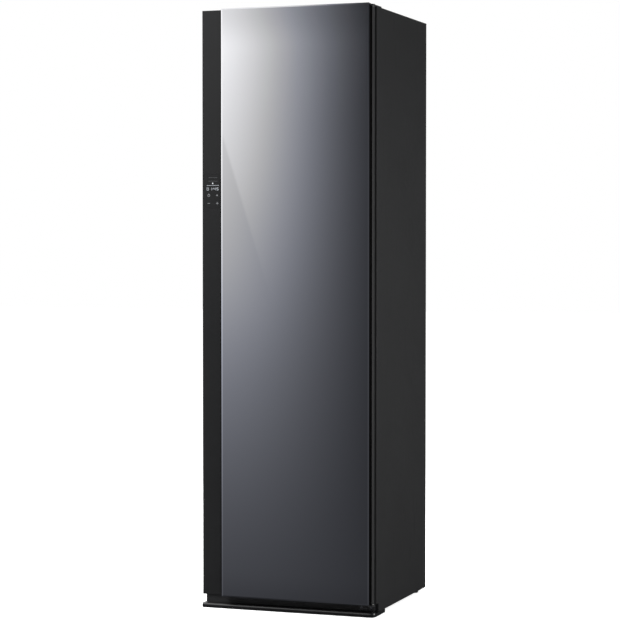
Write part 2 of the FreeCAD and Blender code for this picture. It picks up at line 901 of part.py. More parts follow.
def door_liner():
    """The moulded sheet that closes the door's back."""
    return box(door_left + frame_corner, door_right - frame_corner, y_core_back, y_door_back,
               door_bottom + frame_corner, door_top - frame_corner)


def door_gasket():
    """The soft magnetic seal round the door's back."""
    inner = (mouth_left - gasket_offset, mouth_right + gasket_offset, mouth_bottom - gasket_offset,
             mouth_top + gasket_offset)
    outer = (inner[0] - gasket_width, inner[1] + gasket_width, inner[2] - gasket_width,
             inner[3] + gasket_width)
    y_lip = y_frame - gasket_gap
    band = ring_plate(outer, inner, y_door_back, y_lip)
    neck_in = (inner[0] - gasket_bead, inner[1] + gasket_bead, inner[2] - gasket_bead,
               inner[3] + gasket_bead)
    neck_out = (outer[0] + gasket_bead, outer[1] - gasket_bead, outer[2] + gasket_bead,
                outer[3] - gasket_bead)
    middle = (y_door_back + y_lip) / 2
    slot_in = ring_plate(neck_in, inner, middle - gasket_bead, middle)
    slot_out = ring_plate(outer, neck_out, middle - gasket_bead, middle)
    return cut(band, [slot_in, slot_out])


# ================================================================ trouser press
def press_pad():
    """The cushioned board on the door's back with the two lugs and pins of the press's hinge."""
    board = box(press_left, press_right, y_door_back, y_press_pad, press_bottom, press_top)
    board = rounded(board, Y, press_corner)
    pieces = [board]
    pin_reach = press_pin_length + press_end_gap
    for z0, pin_start, way in ((press_bottom, press_bottom + press_lug_height, 1),
                               (press_top - press_lug_height, press_top - press_lug_height, -1)):
        z1 = z0 + press_lug_height
        pieces.append(box(press_right - press_corner, press_hinge_x + press_barrel, y_door_back,
                          press_hinge_y, z0, z1))
        pieces.append(rod(point(press_hinge_x, press_hinge_y, z0), Z, press_barrel, press_lug_height))
        pieces.append(rod(point(press_hinge_x, press_hinge_y, pin_start), Z * way, press_pin, pin_reach))
    return fuse(pieces)


def press_plate():
    """The leaf that swings in and clamps the trousers to the pad."""
    z0 = press_bottom + press_lug_height + press_end_gap
    z1 = press_top - press_lug_height - press_end_gap
    leaf = box(press_left, press_right, y_press_in, y_press_out, z0, z1)
    leaf = rounded(leaf, Y, press_corner, lambda p: p.x < press_left + press_corner)
    web = box(press_right, press_hinge_x, y_press_in, y_press_out, z0, z1)
    barrel = rod(point(press_hinge_x, press_hinge_y, z0), Z, press_barrel, z1 - z0)
    middle = (z0 + z1) / 2
    tools = [box(press_left - past, press_left + press_grip_depth, y_press_in - past, y_press_out + past,
                 middle - press_grip_width / 2, middle + press_grip_width / 2)]
    pitch = (z1 - z0) / (press_rib_count + 1)
    for index in range(press_rib_count):
        z = z0 + pitch * (index + 1)
        tools.append(box(press_left + 2 * press_corner, press_right - press_corner,
                         y_press_out - press_rib_depth, y_press_out + past, z - press_rib_width / 2,
                         z + press_rib_width / 2))
    for z, way in ((z0, 1), (z1, -1)):
        tools.append(rod(point(press_hinge_x, press_hinge_y, z - way), Z * way, press_pin + running,
                         press_pin_length + 2 * past))
    return cut(fuse([leaf, web, barrel]), tools)


# ================================================================ moving hanger rail
def rod_places():
    """The Y of the two slide rods."""
    return [rail_y - rod_spacing / 2, rail_y + rod_spacing / 2]


def slide_rods():
    """The two ground rods that the carriage runs on."""
    start = rail_x - drive_length / 2 + rod_end_margin
    return [rod(point(start, y, rod_z), X, rod_radius, drive_length - 2 * rod_end_margin)
            for y in rod_places()]


def hanger_drive_base():
    """The drive's bed: a plate with rod blocks and the bridge that holds the motor."""
    half_x = drive_length / 2
    half_y = drive_width / 2
    pieces = [box(rail_x - half_x, rail_x + half_x, rail_y - half_y, rail_y + half_y, ceiling_top,
                  drive_top)]
    for y in rod_places():
        for sign in (-1, 1):
            end = rail_x + sign * half_x
            pieces.append(box(end, end - sign * rod_block, y - bush_block_half, y + bush_block_half,
                              drive_top, rod_z + bush_block_half))
    for sign in (-1, 1):
        side = rail_y + sign * half_y
        pieces.append(box(rail_x - bridge_width / 2, rail_x + bridge_width / 2, side,
                          side - sign * bridge_sheet, drive_top, bridge_bottom))
    pieces.append(box(rail_x - bridge_width / 2, rail_x + bridge_width / 2, rail_y - half_y, rail_y + half_y,
                      bridge_bottom, bridge_top))
    shaft_hole = rod(point(rail_x, rail_y, bridge_bottom - past), Z, motor_shaft + running,
                     bridge_sheet + 2 * past)
    return cut(fuse(pieces), arm_slots(ceiling_top - past, drive_top + past) + slide_rods() + [shaft_hole])


def hanger_carriage():
    """The sliding plate with four rod bushes, the crank's cross slot and the two arms down to the rail."""
    half_x = carriage_length / 2
    plate_half_y = rod_spacing / 2 + bush_block_half
    pieces = [box(rail_x - half_x, rail_x + half_x, rail_y - plate_half_y, rail_y + plate_half_y,
                  carriage_bottom, carriage_top)]
    for y in rod_places():
        for sign in (-1, 1):
            end = rail_x + sign * half_x
            pieces.append(box(end, end - sign * bush_block_length, y - bush_block_half, y + bush_block_half,
                              rod_z - bush_block_half, carriage_bottom))
    for sign in (-1, 1):
        x = rail_x + sign * arm_spacing / 2
        pieces.append(box(x - arm_width / 2, x + arm_width / 2, rail_y - arm_depth / 2,
                          rail_y + arm_depth / 2, rail_z, carriage_bottom))
        pieces.append(rod(point(x - arm_width / 2, rail_y, rail_z), X, rail_radius + arm_collar, arm_width))
    bores = [rod(point(rail_x - half_x - past, y, rod_z), X, rod_radius + running,
                 carriage_length + 2 * past)
             for y in rod_places()]
    arm_reach = arm_spacing / 2 + arm_width / 2 + past
    rail_bore = rod(point(rail_x - arm_reach, rail_y, rail_z), X, rail_radius, 2 * arm_reach)
    slot_half = crank_pin + yoke_play
    slot_reach = crank_radius + slot_half + loose
    yoke = box(rail_x - slot_half, rail_x + slot_half, rail_y - slot_reach, rail_y + slot_reach,
               carriage_bottom - past, carriage_top + past)
    return cut(fuse(pieces), bores + [rail_bore, yoke])


def hanger_rail():
    """The tube that the hangers hook on, closed at both ends."""
    start = rail_x - rail_length / 2
    tube = rod(point(start, rail_y, rail_z), X, rail_radius, rail_length)
    hollow = rod(point(start + rail_radius, rail_y, rail_z), X, rail_radius - rail_wall,
                 rail_length - 2 * rail_radius)
    ends = [edge for edge in tube.Edges if isinstance(edge.Curve, Part.Circle)]
    return tube.makeFillet(rail_wall, ends).cut(hollow)


def crank():
    """The motor's crank: a disc, its shaft and the pin that works in the cross slot."""
    disc = rod(point(rail_x, rail_y, disc_bottom), Z, crank_disc_radius, crank_disc)
    shaft_top = bridge_top + motor_height - motor_boss
    shaft = rod(point(rail_x, rail_y, disc_top), Z, motor_shaft, shaft_top - disc_top)
    pin_bottom = carriage_bottom
    pin = rod(point(rail_x, rail_y + crank_radius, pin_bottom), Z, crank_pin, disc_bottom - pin_bottom)
    return fuse([disc, shaft, pin])


def hanger_motor():
    """The gear motor on the bridge."""
    can = rod(point(rail_x, rail_y, bridge_top), Z, motor_radius, motor_height)
    can = can.makeFillet(fold_radius, [edge for edge in can.Edges
                                       if edge.CenterOfMass.z > bridge_top + motor_height - fit])
    bore = rod(point(rail_x, rail_y, bridge_top - past), Z, motor_shaft + running,
               motor_height - motor_boss + running + past)
    return can.cut(bore)


# ================================================================ garment hangers
def hook(x):
    """The wire hook over the rail, its stem brought back under the rail's axis."""
    reach = rail_radius + fit + hook_wire
    swing = math.acos(1 - reach / (2 * hook_bend))
    drop = hook_bend * math.sin(swing)
    slide = hook_bend * (1 - math.cos(swing))

    def place(dy, dz):
        return point(x, rail_y + dy, rail_z + dz)

    end = math.radians(hook_end_angle)
    over = Part.Arc(place(reach * math.cos(end), reach * math.sin(end)), place(0, reach), place(-reach, 0))
    half = swing / 2
    low = -rail_radius
    side = Part.LineSegment(place(-reach, 0), place(-reach, low))
    first = Part.Arc(place(-reach, low),
                     place(-reach + hook_bend * (1 - math.cos(half)), low - hook_bend * math.sin(half)),
                     place(-reach + slide, low - drop))
    second = Part.Arc(place(-reach + slide, low - drop),
                      place(-hook_bend * (1 - math.cos(half)), low - 2 * drop + hook_bend * math.sin(half)),
                      place(0, low - 2 * drop))
    stem = Part.LineSegment(place(0, low - 2 * drop), place(0, -hanger_neck - hanger_edge))
    wire = Part.Wire([part.toShape() for part in (over, side, first, second, stem)])
    start = place(reach * math.cos(end), reach * math.sin(end))
    return tube_along(wire, start, point(0, -math.sin(end), math.cos(end)), hook_wire)


def hanger(offset):
    """A moulded shoulder with its wire hook; offset is its place along the rail."""
    x = rail_x + offset
    neck = rail_z - hanger_neck
    fall = neck - hanger_fall
    outline = [(hanger_collar_half, neck), (hanger_half, fall), (hanger_half, fall - hanger_tip),
               (hanger_collar_half, neck - hanger_body), (-hanger_collar_half, neck - hanger_body),
               (-hanger_half, fall - hanger_tip), (-hanger_half, fall), (-hanger_collar_half, neck)]
    corners = [point(x - hanger_thickness / 2, rail_y + y, z) for y, z in outline + outline[:1]]
    body = Part.Face(Part.makePolygon(corners)).extrude(X * hanger_thickness)
    long_edges = [edge for edge in body.Edges if edge.Length > hanger_thickness + fit]
    body = body.makeFillet(hanger_edge, long_edges)
    return fuse([body, hook(x)])


# ================================================================ shelf
def shelf():
    """The slotted shelf that rests on the two ledges."""
    x0 = mouth_left + loose
    x1 = mouth_right - loose
    y0 = y_machine + shelf_setback
    y1 = y_chamber_rear - shelf_rear_gap
    plate = rounded(box(x0, x1, y0, y1, ledge_top, ledge_top + shelf_thickness), Z, shelf_corner)
    pitch = (x1 - x0 - 2 * shelf_border + shelf_bar) / shelf_slot_count
    slots = []
    for index in range(shelf_slot_count):
        start = x0 + shelf_border + index * pitch
        slots.append(box(start, start + pitch - shelf_bar, y0 + shelf_border, y1 - shelf_border,
                         ledge_top - past, ledge_top + shelf_thickness + past))
    return cut(plate, slots)


# ================================================================ water tanks
def tank_span(sign):
    """The X range of the left (-1) or right (+1) tank."""
    if sign < 0:
        return mouth_left + tank_side_gap, chamber_centre - tank_gap / 2
    return chamber_centre + tank_gap / 2, mouth_right - tank_side_gap


def tank_middle_x(sign):
    return sum(tank_span(sign)) / 2


def tank_middle_y():
    return (y_mouth + tank_front_gap + y_bay - tank_rear_gap) / 2


def tank_block(sign, inset, z0, z1):
    """A tank-shaped block, smaller all round by inset."""
    x0, x1 = tank_span(sign)
    y0 = y_mouth + tank_front_gap
    y1 = y_bay - tank_rear_gap
    block = box(x0 + inset, x1 - inset, y0 + inset, y1 - inset, z0, z1)
    return rounded(block, Z, tank_corner - inset)


def tank(sign):
    """A water tank, open at the top, with the pocket that drops over the valve seat."""
    top = mouth_bottom + tank_height
    shell = tank_block(sign, 0, mouth_bottom, top)
    hollow = tank_block(sign, tank_wall, mouth_bottom + valve_height + valve_clear + tank_wall, top + past)
    pocket = rod(point(tank_middle_x(sign), tank_middle_y(), mouth_bottom - past), Z,
                 valve_radius + valve_clear, valve_height + valve_clear + past)
    return cut(shell, [hollow, pocket])


def tank_lid(sign):
    """The tank's lid with its grip, neck and the lip that plugs into the tank."""
    top = mouth_bottom + tank_height
    plate = tank_block(sign, 0, top, top + lid_plate)
    lip = tank_block(sign, tank_wall + fit, top - lid_lip, top)
    lip_hollow = tank_block(sign, 2 * tank_wall + fit, top - lid_lip - past, top)
    x = tank_middle_x(sign) - lid_grip_shift
    y = tank_middle_y()
    z = top + lid_plate
    block = box(x - lid_grip_length / 2, x + lid_grip_length / 2, y - lid_grip_width / 2,
                y + lid_grip_width / 2, z, z + lid_grip_height)
    grip = rounded(block, X, lid_grip_bar / 2, lambda p: p.z > z + fit)
    window = box(x - lid_grip_length / 2 + lid_grip_bar, x + lid_grip_length / 2 - lid_grip_bar,
                 y - lid_grip_width, y + lid_grip_width, z, z + lid_grip_height - lid_grip_bar)
    neck_x, neck_y = neck_place(sign)
    neck = rod(point(neck_x, neck_y, z), Z, neck_radius, neck_height)
    bore = rod(point(neck_x, neck_y, top - lid_lip - past), Z, neck_radius - neck_wall,
               neck_height + lid_plate + lid_lip + 2 * past)
    return cut(fuse([plate, lip.cut(lip_hollow), grip.cut(window), neck]), [bore])


def neck_place(sign):
    """The centre of a lid's neck, in plan."""
    x1 = tank_span(sign)[1]
    return x1 - tank_corner - neck_radius - cap_wall, tank_middle_y()


def tank_cap(sign):
    """The screw cap over the supply tank's neck, ribbed for the fingers."""
    x, y = neck_place(sign)
    z = mouth_bottom + tank_height + lid_plate
    outer = neck_radius + running + cap_wall
    skirt = rod(point(x, y, z + fit), Z, outer, neck_height + cap_top)
    hollow = rod(point(x, y, z + fit - past), Z, neck_radius + running, neck_height + past)
    ribs = []
    for index in range(cap_rib_count):
        angle = 2 * math.pi * index / cap_rib_count
        ribs.append(rod(point(x + outer * math.cos(angle), y + outer * math.sin(angle), z + fit), Z,
                        cap_rib / 2, neck_height + cap_top))
    return fuse([skirt.cut(hollow)] + ribs)


# ================================================================ lint filter
def lint_filter():
    """The filter cassette that is lifted out of the chamber floor."""
    half = filter_width / 2
    y0 = filter_y - filter_thickness / 2
    y1 = filter_y + filter_thickness / 2
    z0 = floor_top - filter_depth
    frame = box(filter_x - half, filter_x + half, y0, y1, z0, floor_top)
    upper = box(filter_x - half + filter_wall, filter_x + half - filter_wall, y0 + filter_wall,
                y1 - filter_wall, z0 + filter_wall + filter_mesh, floor_top + filter_flange_height + past)
    window_front = box(filter_x - half + 2 * filter_wall, filter_x + half - 2 * filter_wall, y0 - past,
                       y1 + past, z0 + 3 * filter_wall, floor_top - 3 * filter_wall)
    flange = box(filter_x - half - filter_flange, filter_x + half + filter_flange, y0 - filter_flange,
                 y1 + filter_flange, floor_top, floor_top + filter_flange_height)
    mesh = box(filter_x - half + filter_wall, filter_x + half - filter_wall, filter_y - filter_mesh / 2,
               filter_y + filter_mesh / 2, z0 + filter_wall, floor_top)
    z_grip = floor_top + filter_flange_height
    grip = box(filter_x - filter_grip / 2, filter_x + filter_grip / 2, y0 - filter_flange, y0, z_grip,
               z_grip + filter_grip_height)
    return fuse([cut(fuse([frame, flange]), [upper, window_front]), mesh, grip])


# ================================================================ steam and water
def nozzle_x():
    return mouth_left + boiler_side_gap + boiler_width / 2


def nozzle_y():
    return y_machine + boiler_front_gap + boiler_depth / 2


def steam_generator():
    """The boiler on four legs, with the boss of its heater and its steam outlet."""
    x0 = mouth_left + boiler_side_gap
    y0 = y_machine + boiler_front_gap
    z0 = pan_floor + boiler_leg
    shell = box(x0, x0 + boiler_width, y0, y0 + boiler_depth, z0, z0 + boiler_height)
    shell = shell.makeFillet(boiler_corner, shell.Edges)
    pieces = [shell]
    leg = boiler_corner
    for x in (x0 + leg, x0 + boiler_width - leg):
        for y in (y0 + leg, y0 + boiler_depth - leg):
            pieces.append(rod(point(x, y, pan_floor), Z, leg / 2, boiler_leg + leg))
    heater = rod(point(x0 + boiler_width / 2, y0 - leg / 2, z0 + boiler_height / 3), Y, boiler_width / 4,
                 leg)
    outlet = rod(point(nozzle_x(), nozzle_y(), z0 + boiler_height - leg), Z, steam_tube + pipe_radius,
                 2 * leg)
    return fuse(pieces + [heater, outlet])


def steam_nozzle():
    """The slotted nozzle in the chamber floor with its tube down to the boiler."""
    x = nozzle_x()
    y = nozzle_y()
    z_tube = pan_floor + boiler_leg + boiler_height + boiler_corner
    tube = rod(point(x, y, z_tube), Z, steam_tube, floor_top - z_tube)
    flange = rod(point(x, y, floor_top), Z, nozzle_radius, nozzle_lip)
    seat = point(x, y, floor_top)
    dome = Part.makeCone(nozzle_radius - nozzle_lip, nozzle_radius / 2, nozzle_height, seat, Z)
    slots = []
    for index in range(nozzle_slot_count):
        turn = 360.0 * index / nozzle_slot_count
        slot = box(x, x + nozzle_radius, y - nozzle_slot / 2, y + nozzle_slot / 2,
                   floor_top + nozzle_lip + nozzle_slot_margin,
                   floor_top + nozzle_height - nozzle_slot_margin)
        slots.append(slot.rotate(point(x, y, 0), Z, turn))
    bore = rod(point(x, y, z_tube - past), Z, steam_tube / 2, floor_top + nozzle_height / 2 - z_tube)
    return cut(fuse([tube, flange, dome]), slots + [bore])


def pump(x, y, spout):
    """A small water pump on its foot plate; spout is the direction of its outlet."""
    half = pump_foot / 2
    foot_plate = box(x - half, x + half, y - half, y + half, pan_floor, pan_floor + pump_foot_thickness)
    foot_plate = rounded(foot_plate, Z, half / 4)
    can = rod(point(x, y, pan_floor + pump_foot_thickness), Z, pump_radius, pump_height)
    outlet = rod(point(x, y, pan_floor + pump_height / 3), spout, pump_spout,
                 pump_radius + pump_spout_length)
    return fuse([foot_plate, can, outlet])


def water_pumps():
    """The supply pump behind the boiler and the drain pump at the right."""
    supply_y = y_machine + boiler_front_gap + boiler_depth + supply_pump_gap + pump_foot / 2
    drain_y = y_machine + boiler_front_gap + pump_foot / 2
    return [pump(nozzle_x(), supply_y, -Y), pump(mouth_right - drain_pump_in, drain_y, -Y)]


# ================================================================ heat exchangers and fan
def coil_start_x():
    return mouth_left + boiler_side_gap + boiler_width + coil_left_gap


def coil_end_x():
    return mouth_right - coil_right_gap


def coil_start_y(index):
    return y_machine + coil_front_gap + index * (coil_depth + coil_gap)


def coil(index):
    """A finned heat exchanger: end plates, fins on a core and the tube bends at its left end."""
    x0 = coil_start_x()
    x1 = coil_end_x()
    y0 = coil_start_y(index)
    inset = coil_core_inset
    pieces = [box(x0, x1, y0 + inset, y0 + coil_depth - inset, coil_bottom, coil_top - inset)]
    pitch = (x1 - x0 - coil_fin) / (coil_fin_count - 1)
    for number in range(coil_fin_count):
        x = x0 + number * pitch
        low = pan_floor if number in (0, coil_fin_count - 1) else coil_bottom
        pieces.append(box(x, x + coil_fin, y0, y0 + coil_depth, low, coil_top))
    row_pitch = (coil_top - coil_bottom) / (coil_tube_rows + 1)
    for row in range(coil_tube_rows):
        z = coil_bottom + row_pitch * (row + 1)
        middle = y0 + coil_depth / 2
        bend = Part.makeTorus(coil_bend, coil_tube, point(x0, middle, z), Z, -180, 180, 180)
        bend.rotate(point(x0, middle, z), Z, 90)
        pieces.append(bend)
    return fuse(pieces)


def fan_x():
    return mouth_left + scroll_left_gap + fan_radius + scroll_growth + fan_tip_clear


def fan_front():
    """The Y of the scroll's front face."""
    return coil_start_y(1) + coil_depth + scroll_front_gap


def fan_z():
    return pan_floor + scroll_lift + scroll_radius() + scroll_growth / 2


def scroll_radius():
    return fan_radius + fan_tip_clear + scroll_wall


def scroll_depth():
    return fan_width + 2 * (fan_side_clear + scroll_wall)


def duct_plan():
    """The plan of the scroll's outlet where it meets the chamber floor, inside its walls."""
    x0 = fan_x() - scroll_radius() - scroll_growth / 2 + scroll_wall
    y0 = fan_front() + scroll_wall
    return x0, x0 + scroll_duct - 2 * scroll_wall, y0, y0 + scroll_depth() - 2 * scroll_wall


def fan_scroll():
    """The blower's housing: a round case on its outlet duct, with a round inlet in its front."""
    y0 = fan_front()
    depth = scroll_depth()
    radius = scroll_radius() + scroll_growth / 2
    axis = point(fan_x(), y0, fan_z())
    left = fan_x() - radius
    foot_block = box(fan_x() - radius / 2, fan_x() + radius / 2, y0, y0 + depth, pan_floor, fan_z())
    outside = fuse([rod(axis, Y, radius, depth), foot_block,
                    box(left, left + scroll_duct, y0, y0 + depth, fan_z(), z_machine)])
    inner_axis = point(fan_x(), y0 + scroll_wall, fan_z())
    inner_depth = depth - 2 * scroll_wall
    hollow = fuse([rod(inner_axis, Y, radius - scroll_wall, inner_depth),
                   box(left + scroll_wall, left + scroll_duct - scroll_wall, y0 + scroll_wall,
                       y0 + depth - scroll_wall, fan_z(), z_machine + past)])
    inlet = rod(point(fan_x(), y0 - past, fan_z()), Y, scroll_inlet, scroll_wall + 2 * past)
    shaft_hole = rod(point(fan_x(), y0 + depth - scroll_wall - past, fan_z()), Y, fan_shaft + running,
                     scroll_wall + 2 * past)
    return cut(outside, [hollow, inlet, shaft_hole])


def fan_impeller():
    """The blower wheel: a back disc, a ring of blades, a front ring, a hub and the shaft."""
    y0 = fan_front() + scroll_wall + fan_side_clear
    y1 = y0 + fan_width
    x = fan_x()
    z = fan_z()
    back = rod(point(x, y1 - fan_disc, z), Y, fan_radius, fan_disc)
    front = rod(point(x, y0, z), Y, fan_radius, fan_disc)
    front = front.cut(rod(point(x, y0 - past, z), Y, fan_radius - fan_blade_length, fan_disc + 2 * past))
    hub = rod(point(x, y1 - fan_width / 2, z), Y, fan_hub, fan_width / 2)
    shaft_end = fan_front() + scroll_depth() + fan_motor_length / 2
    shaft = rod(point(x, y1, z), Y, fan_shaft, shaft_end - y1)
    pieces = [back, front, hub, shaft]
    for index in range(fan_blades):
        blade = box(x + fan_radius - fan_blade_length, x + fan_radius - fan_blade / 2, y0, y1,
                    z - fan_blade / 2, z + fan_blade / 2)
        pieces.append(blade.rotate(point(x, 0, z), Y, 360.0 * index / fan_blades))
    return fuse(pieces)


def fan_motor():
    """The blower's motor on the back of the scroll."""
    y0 = fan_front() + scroll_depth()
    can = rod(point(fan_x(), y0, fan_z()), Y, fan_motor_radius, fan_motor_length)
    can = can.makeFillet(fold_radius, [edge for edge in can.Edges
                                       if edge.CenterOfMass.y > y0 + fan_motor_length - fit])
    bore = rod(point(fan_x(), y0 - past, fan_z()), Y, fan_shaft + running,
               fan_motor_length / 2 + running + past)
    return can.cut(bore)


# ================================================================ heat pump
def compressor_x():
    return mouth_right - compressor_side_gap - compressor_radius


def compressor_y():
    return y_inside_rear - compressor_rear_gap - compressor_radius


def mount_places():
    """The compressor's feet, in plan."""
    places = []
    for index in range(mount_count):
        angle = math.radians(mount_turn + 360.0 * index / mount_count)
        places.append((compressor_x() + mount_circle * math.cos(angle),
                       compressor_y() + mount_circle * math.sin(angle)))
    return places


def compressor_base():
    return pan_floor + compressor_lift


def compressor():
    """The sealed compressor: a domed can on three rubber-shod feet, with a terminal box."""
    x = compressor_x()
    y = compressor_y()
    z0 = compressor_base() + compressor_plate
    can = rod(point(x, y, z0), Z, compressor_radius, compressor_body)
    dome = rod(point(x, y, z0 + compressor_body), Z, compressor_radius, compressor_dome)
    crown = [edge for edge in dome.Edges
             if edge.CenterOfMass.z > z0 + compressor_body + fit and isinstance(edge.Curve, Part.Circle)]
    dome = dome.makeFillet(compressor_dome - compressor_rim, crown)
    pieces = [can, dome]
    for mount_x, mount_y in mount_places():
        pieces.append(rod(point(mount_x, mount_y, pan_floor), Z, mount_radius,
                          compressor_lift + compressor_plate))
    pieces.append(rod(point(x, y, compressor_base()), Z, compressor_radius, compressor_plate))
    terminal = box(x - compressor_radius - terminal_size / 4, x, y - terminal_size / 2,
                   y + terminal_size / 2, z0 + compressor_body / 2, z0 + compressor_body / 2 + terminal_size)
    return fuse(pieces + [terminal])


def refrigerant_pipes():
    """The hot gas pipe, the cold return pipe and the liquid pipe between the coils."""
    top = compressor_base() + compressor_plate + compressor_body + compressor_dome
    coil_right = coil_end_x()
    evaporator_y = coil_start_y(0) + coil_depth / 2
    condenser_y = coil_start_y(1) + coil_depth / 2
    x = compressor_x()
    y = compressor_y()
    shift = compressor_radius / 3
    hot_x = coil_right + pipe_run
    cold_z = z_machine - pipe_roof_gap
    hot_z = cold_z - pipe_side
    hot = [point(x - shift, y, top), point(x - shift, y, hot_z), point(hot_x, condenser_y, hot_z),
           point(hot_x, condenser_y, coil_top - pipe_low),
           point(coil_right, condenser_y, coil_top - pipe_low)]
    cold_x = coil_right + pipe_run + pipe_side
    cold = [point(x + shift, y, top), point(x + shift, y, cold_z), point(cold_x, evaporator_y, cold_z),
            point(cold_x, evaporator_y, coil_top - pipe_low),
            point(coil_right, evaporator_y, coil_top - pipe_low)]
    low = coil_bottom + pipe_low
    liquid = [point(coil_right, condenser_y, low), point(cold_x, condenser_y, low),
              point(cold_x, evaporator_y, low), point(coil_right, evaporator_y, low)]
    pipes = []
    for points in (hot, cold, liquid):
        wire = path_wire(points, pipe_bend)
        pipes.append(tube_along(wire, points[0], (points[1] - points[0]).normalize(), pipe_radius))
    return pipes


# ================================================================ electronics
def control_board():
    """The power board on standoffs at the machine space's right wall."""
    x1 = mouth_right - standoff
    x0 = x1 - board_thickness
    y0 = y_machine + power_board_front
    y1 = y0 + power_board_length
    z0 = pan_floor + power_board_rise
    z1 = z0 + power_board_height
    pieces = [box(x0, x1, y0, y1, z0, z1)]
    for y in (y0 + standoff, y1 - standoff):
        for z in (z0 + standoff, z1 - standoff):
            pieces.append(rod(point(x1, y, z), X, standoff / 2, standoff))
    pieces.append(box(x0 - heat_sink_depth, x0, y0 + standoff, y0 + standoff + heat_sink_length,
                      z0 + standoff, z1 - heat_sink_margin))
    for index in range(capacitor_count):
        y = y1 - 2 * capacitor_radius - capacitor_pitch * index
        pieces.append(rod(point(x0, y, z1 - 2 * capacitor_radius), -X, capacitor_radius, capacitor_length))
    return fuse(pieces)


def power_inlet():
    """The cable gland in the rear panel."""
    x = mouth_left + inlet_inset
    body = rod(point(x, y_rear_sheet, inlet_z), -Y, inlet_radius, inlet_length)
    flange = rod(point(x, y_rear_sheet, inlet_z), Y, inlet_flange, screw_head)
    nut = rod(point(x, y_side_rear, inlet_z), -Y, inlet_flange, sheet * 2)
    bore = rod(point(x, y_rear + past, inlet_z), -Y, inlet_bore, inlet_length + 2 * screw_head + 2 * past)
    return cut(fuse([body, flange, nut]), [bore])


# ================================================================ all pieces
def all_pieces():
    """Every node's name with its solid, or its list of like solids."""
    pieces = {
        "side_panel_left": side_panel(-1),
        "side_panel_right": side_panel(1),
        "rear_panel": rear_panel(),
        "top_panel": top_panel(),
        "mouth_frame": mouth_frame(),
        "base_pan": base_pan(),
        "front_plinth": front_plinth(),
        "base_trim": base_trim(),
        "front_foot_left": foot(front_foot_places()[0]),
        "front_foot_right": foot(front_foot_places()[1]),
        "rear_feet": [foot(place) for place in rear_foot_places()],
        "control_column": control_column(),
        "display_window": display_window(),
        "display_board": display_board(),
        "liner_left": liner_side(-1),
        "liner_right": liner_side(1),
        "liner_rear": liner_rear(),
        "chamber_ceiling": chamber_ceiling(),
        "chamber_floor": chamber_floor(),
        "tank_bay": tank_bay(),
        "insulation_slabs": insulation_slabs(),
        "top_hinge_bracket": top_hinge_bracket(),
        "bottom_hinge_bracket": bottom_hinge_bracket(),
        "hinge_pins": hinge_pins(),
        "case_screws": case_screws(),
        "door_frame": door_frame(),
        "door_glass": door_glass(),
        "door_core": door_core(),
        "door_liner": door_liner(),
        "door_gasket": door_gasket(),
        "door_bushes": door_bushes(),
        "press_pad": press_pad(),
        "press_plate": press_plate(),
        "hanger_drive_base": hanger_drive_base(),
        "slide_rods": slide_rods(),
        "hanger_motor": hanger_motor(),
        "crank": crank(),
        "hanger_carriage": hanger_carriage(),
        "hanger_rail": hanger_rail(),
        "shelf": shelf(),
        "supply_tank": tank(-1),
        "supply_tank_lid": tank_lid(-1),
        "supply_tank_cap": tank_cap(-1),
        "drain_tank": tank(1),
        "drain_tank_lid": tank_lid(1),
        "lint_filter": lint_filter(),
        "steam_generator": steam_generator(),
        "steam_nozzle": steam_nozzle(),
        "water_pumps": water_pumps(),
        "evaporator": coil(0),
        "condenser": coil(1),
        "fan_scroll": fan_scroll(),
        "fan_impeller": fan_impeller(),
        "fan_motor": fan_motor(),
        "compressor": compressor(),
        "refrigerant_pipes": refrigerant_pipes(),
        "control_board": control_board(),
        "power_inlet": power_inlet(),
    }
    for number, offset in enumerate(hanger_places, 1):
        pieces["hanger_%d" % number] = hanger(offset)
    return pieces


def main():
    os.makedirs("parts", exist_ok=True)
    for name, shape in all_pieces().items():
        if isinstance(shape, list):
            shape = Part.makeCompound(shape)
        if not shape.isValid():
            raise ValueError("%s is not a valid shape" % name)
        shape.exportStep("parts/%s.step" % name)
        print("%-22s solids %2d  volume %12.1f mm3" % (name, len(shape.Solids), shape.Volume))


main()
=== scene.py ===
import json
import math

import bpy
from bpy.props import FloatProperty, FloatVectorProperty, IntProperty, PointerProperty, StringProperty
from mathutils import Matrix, Vector


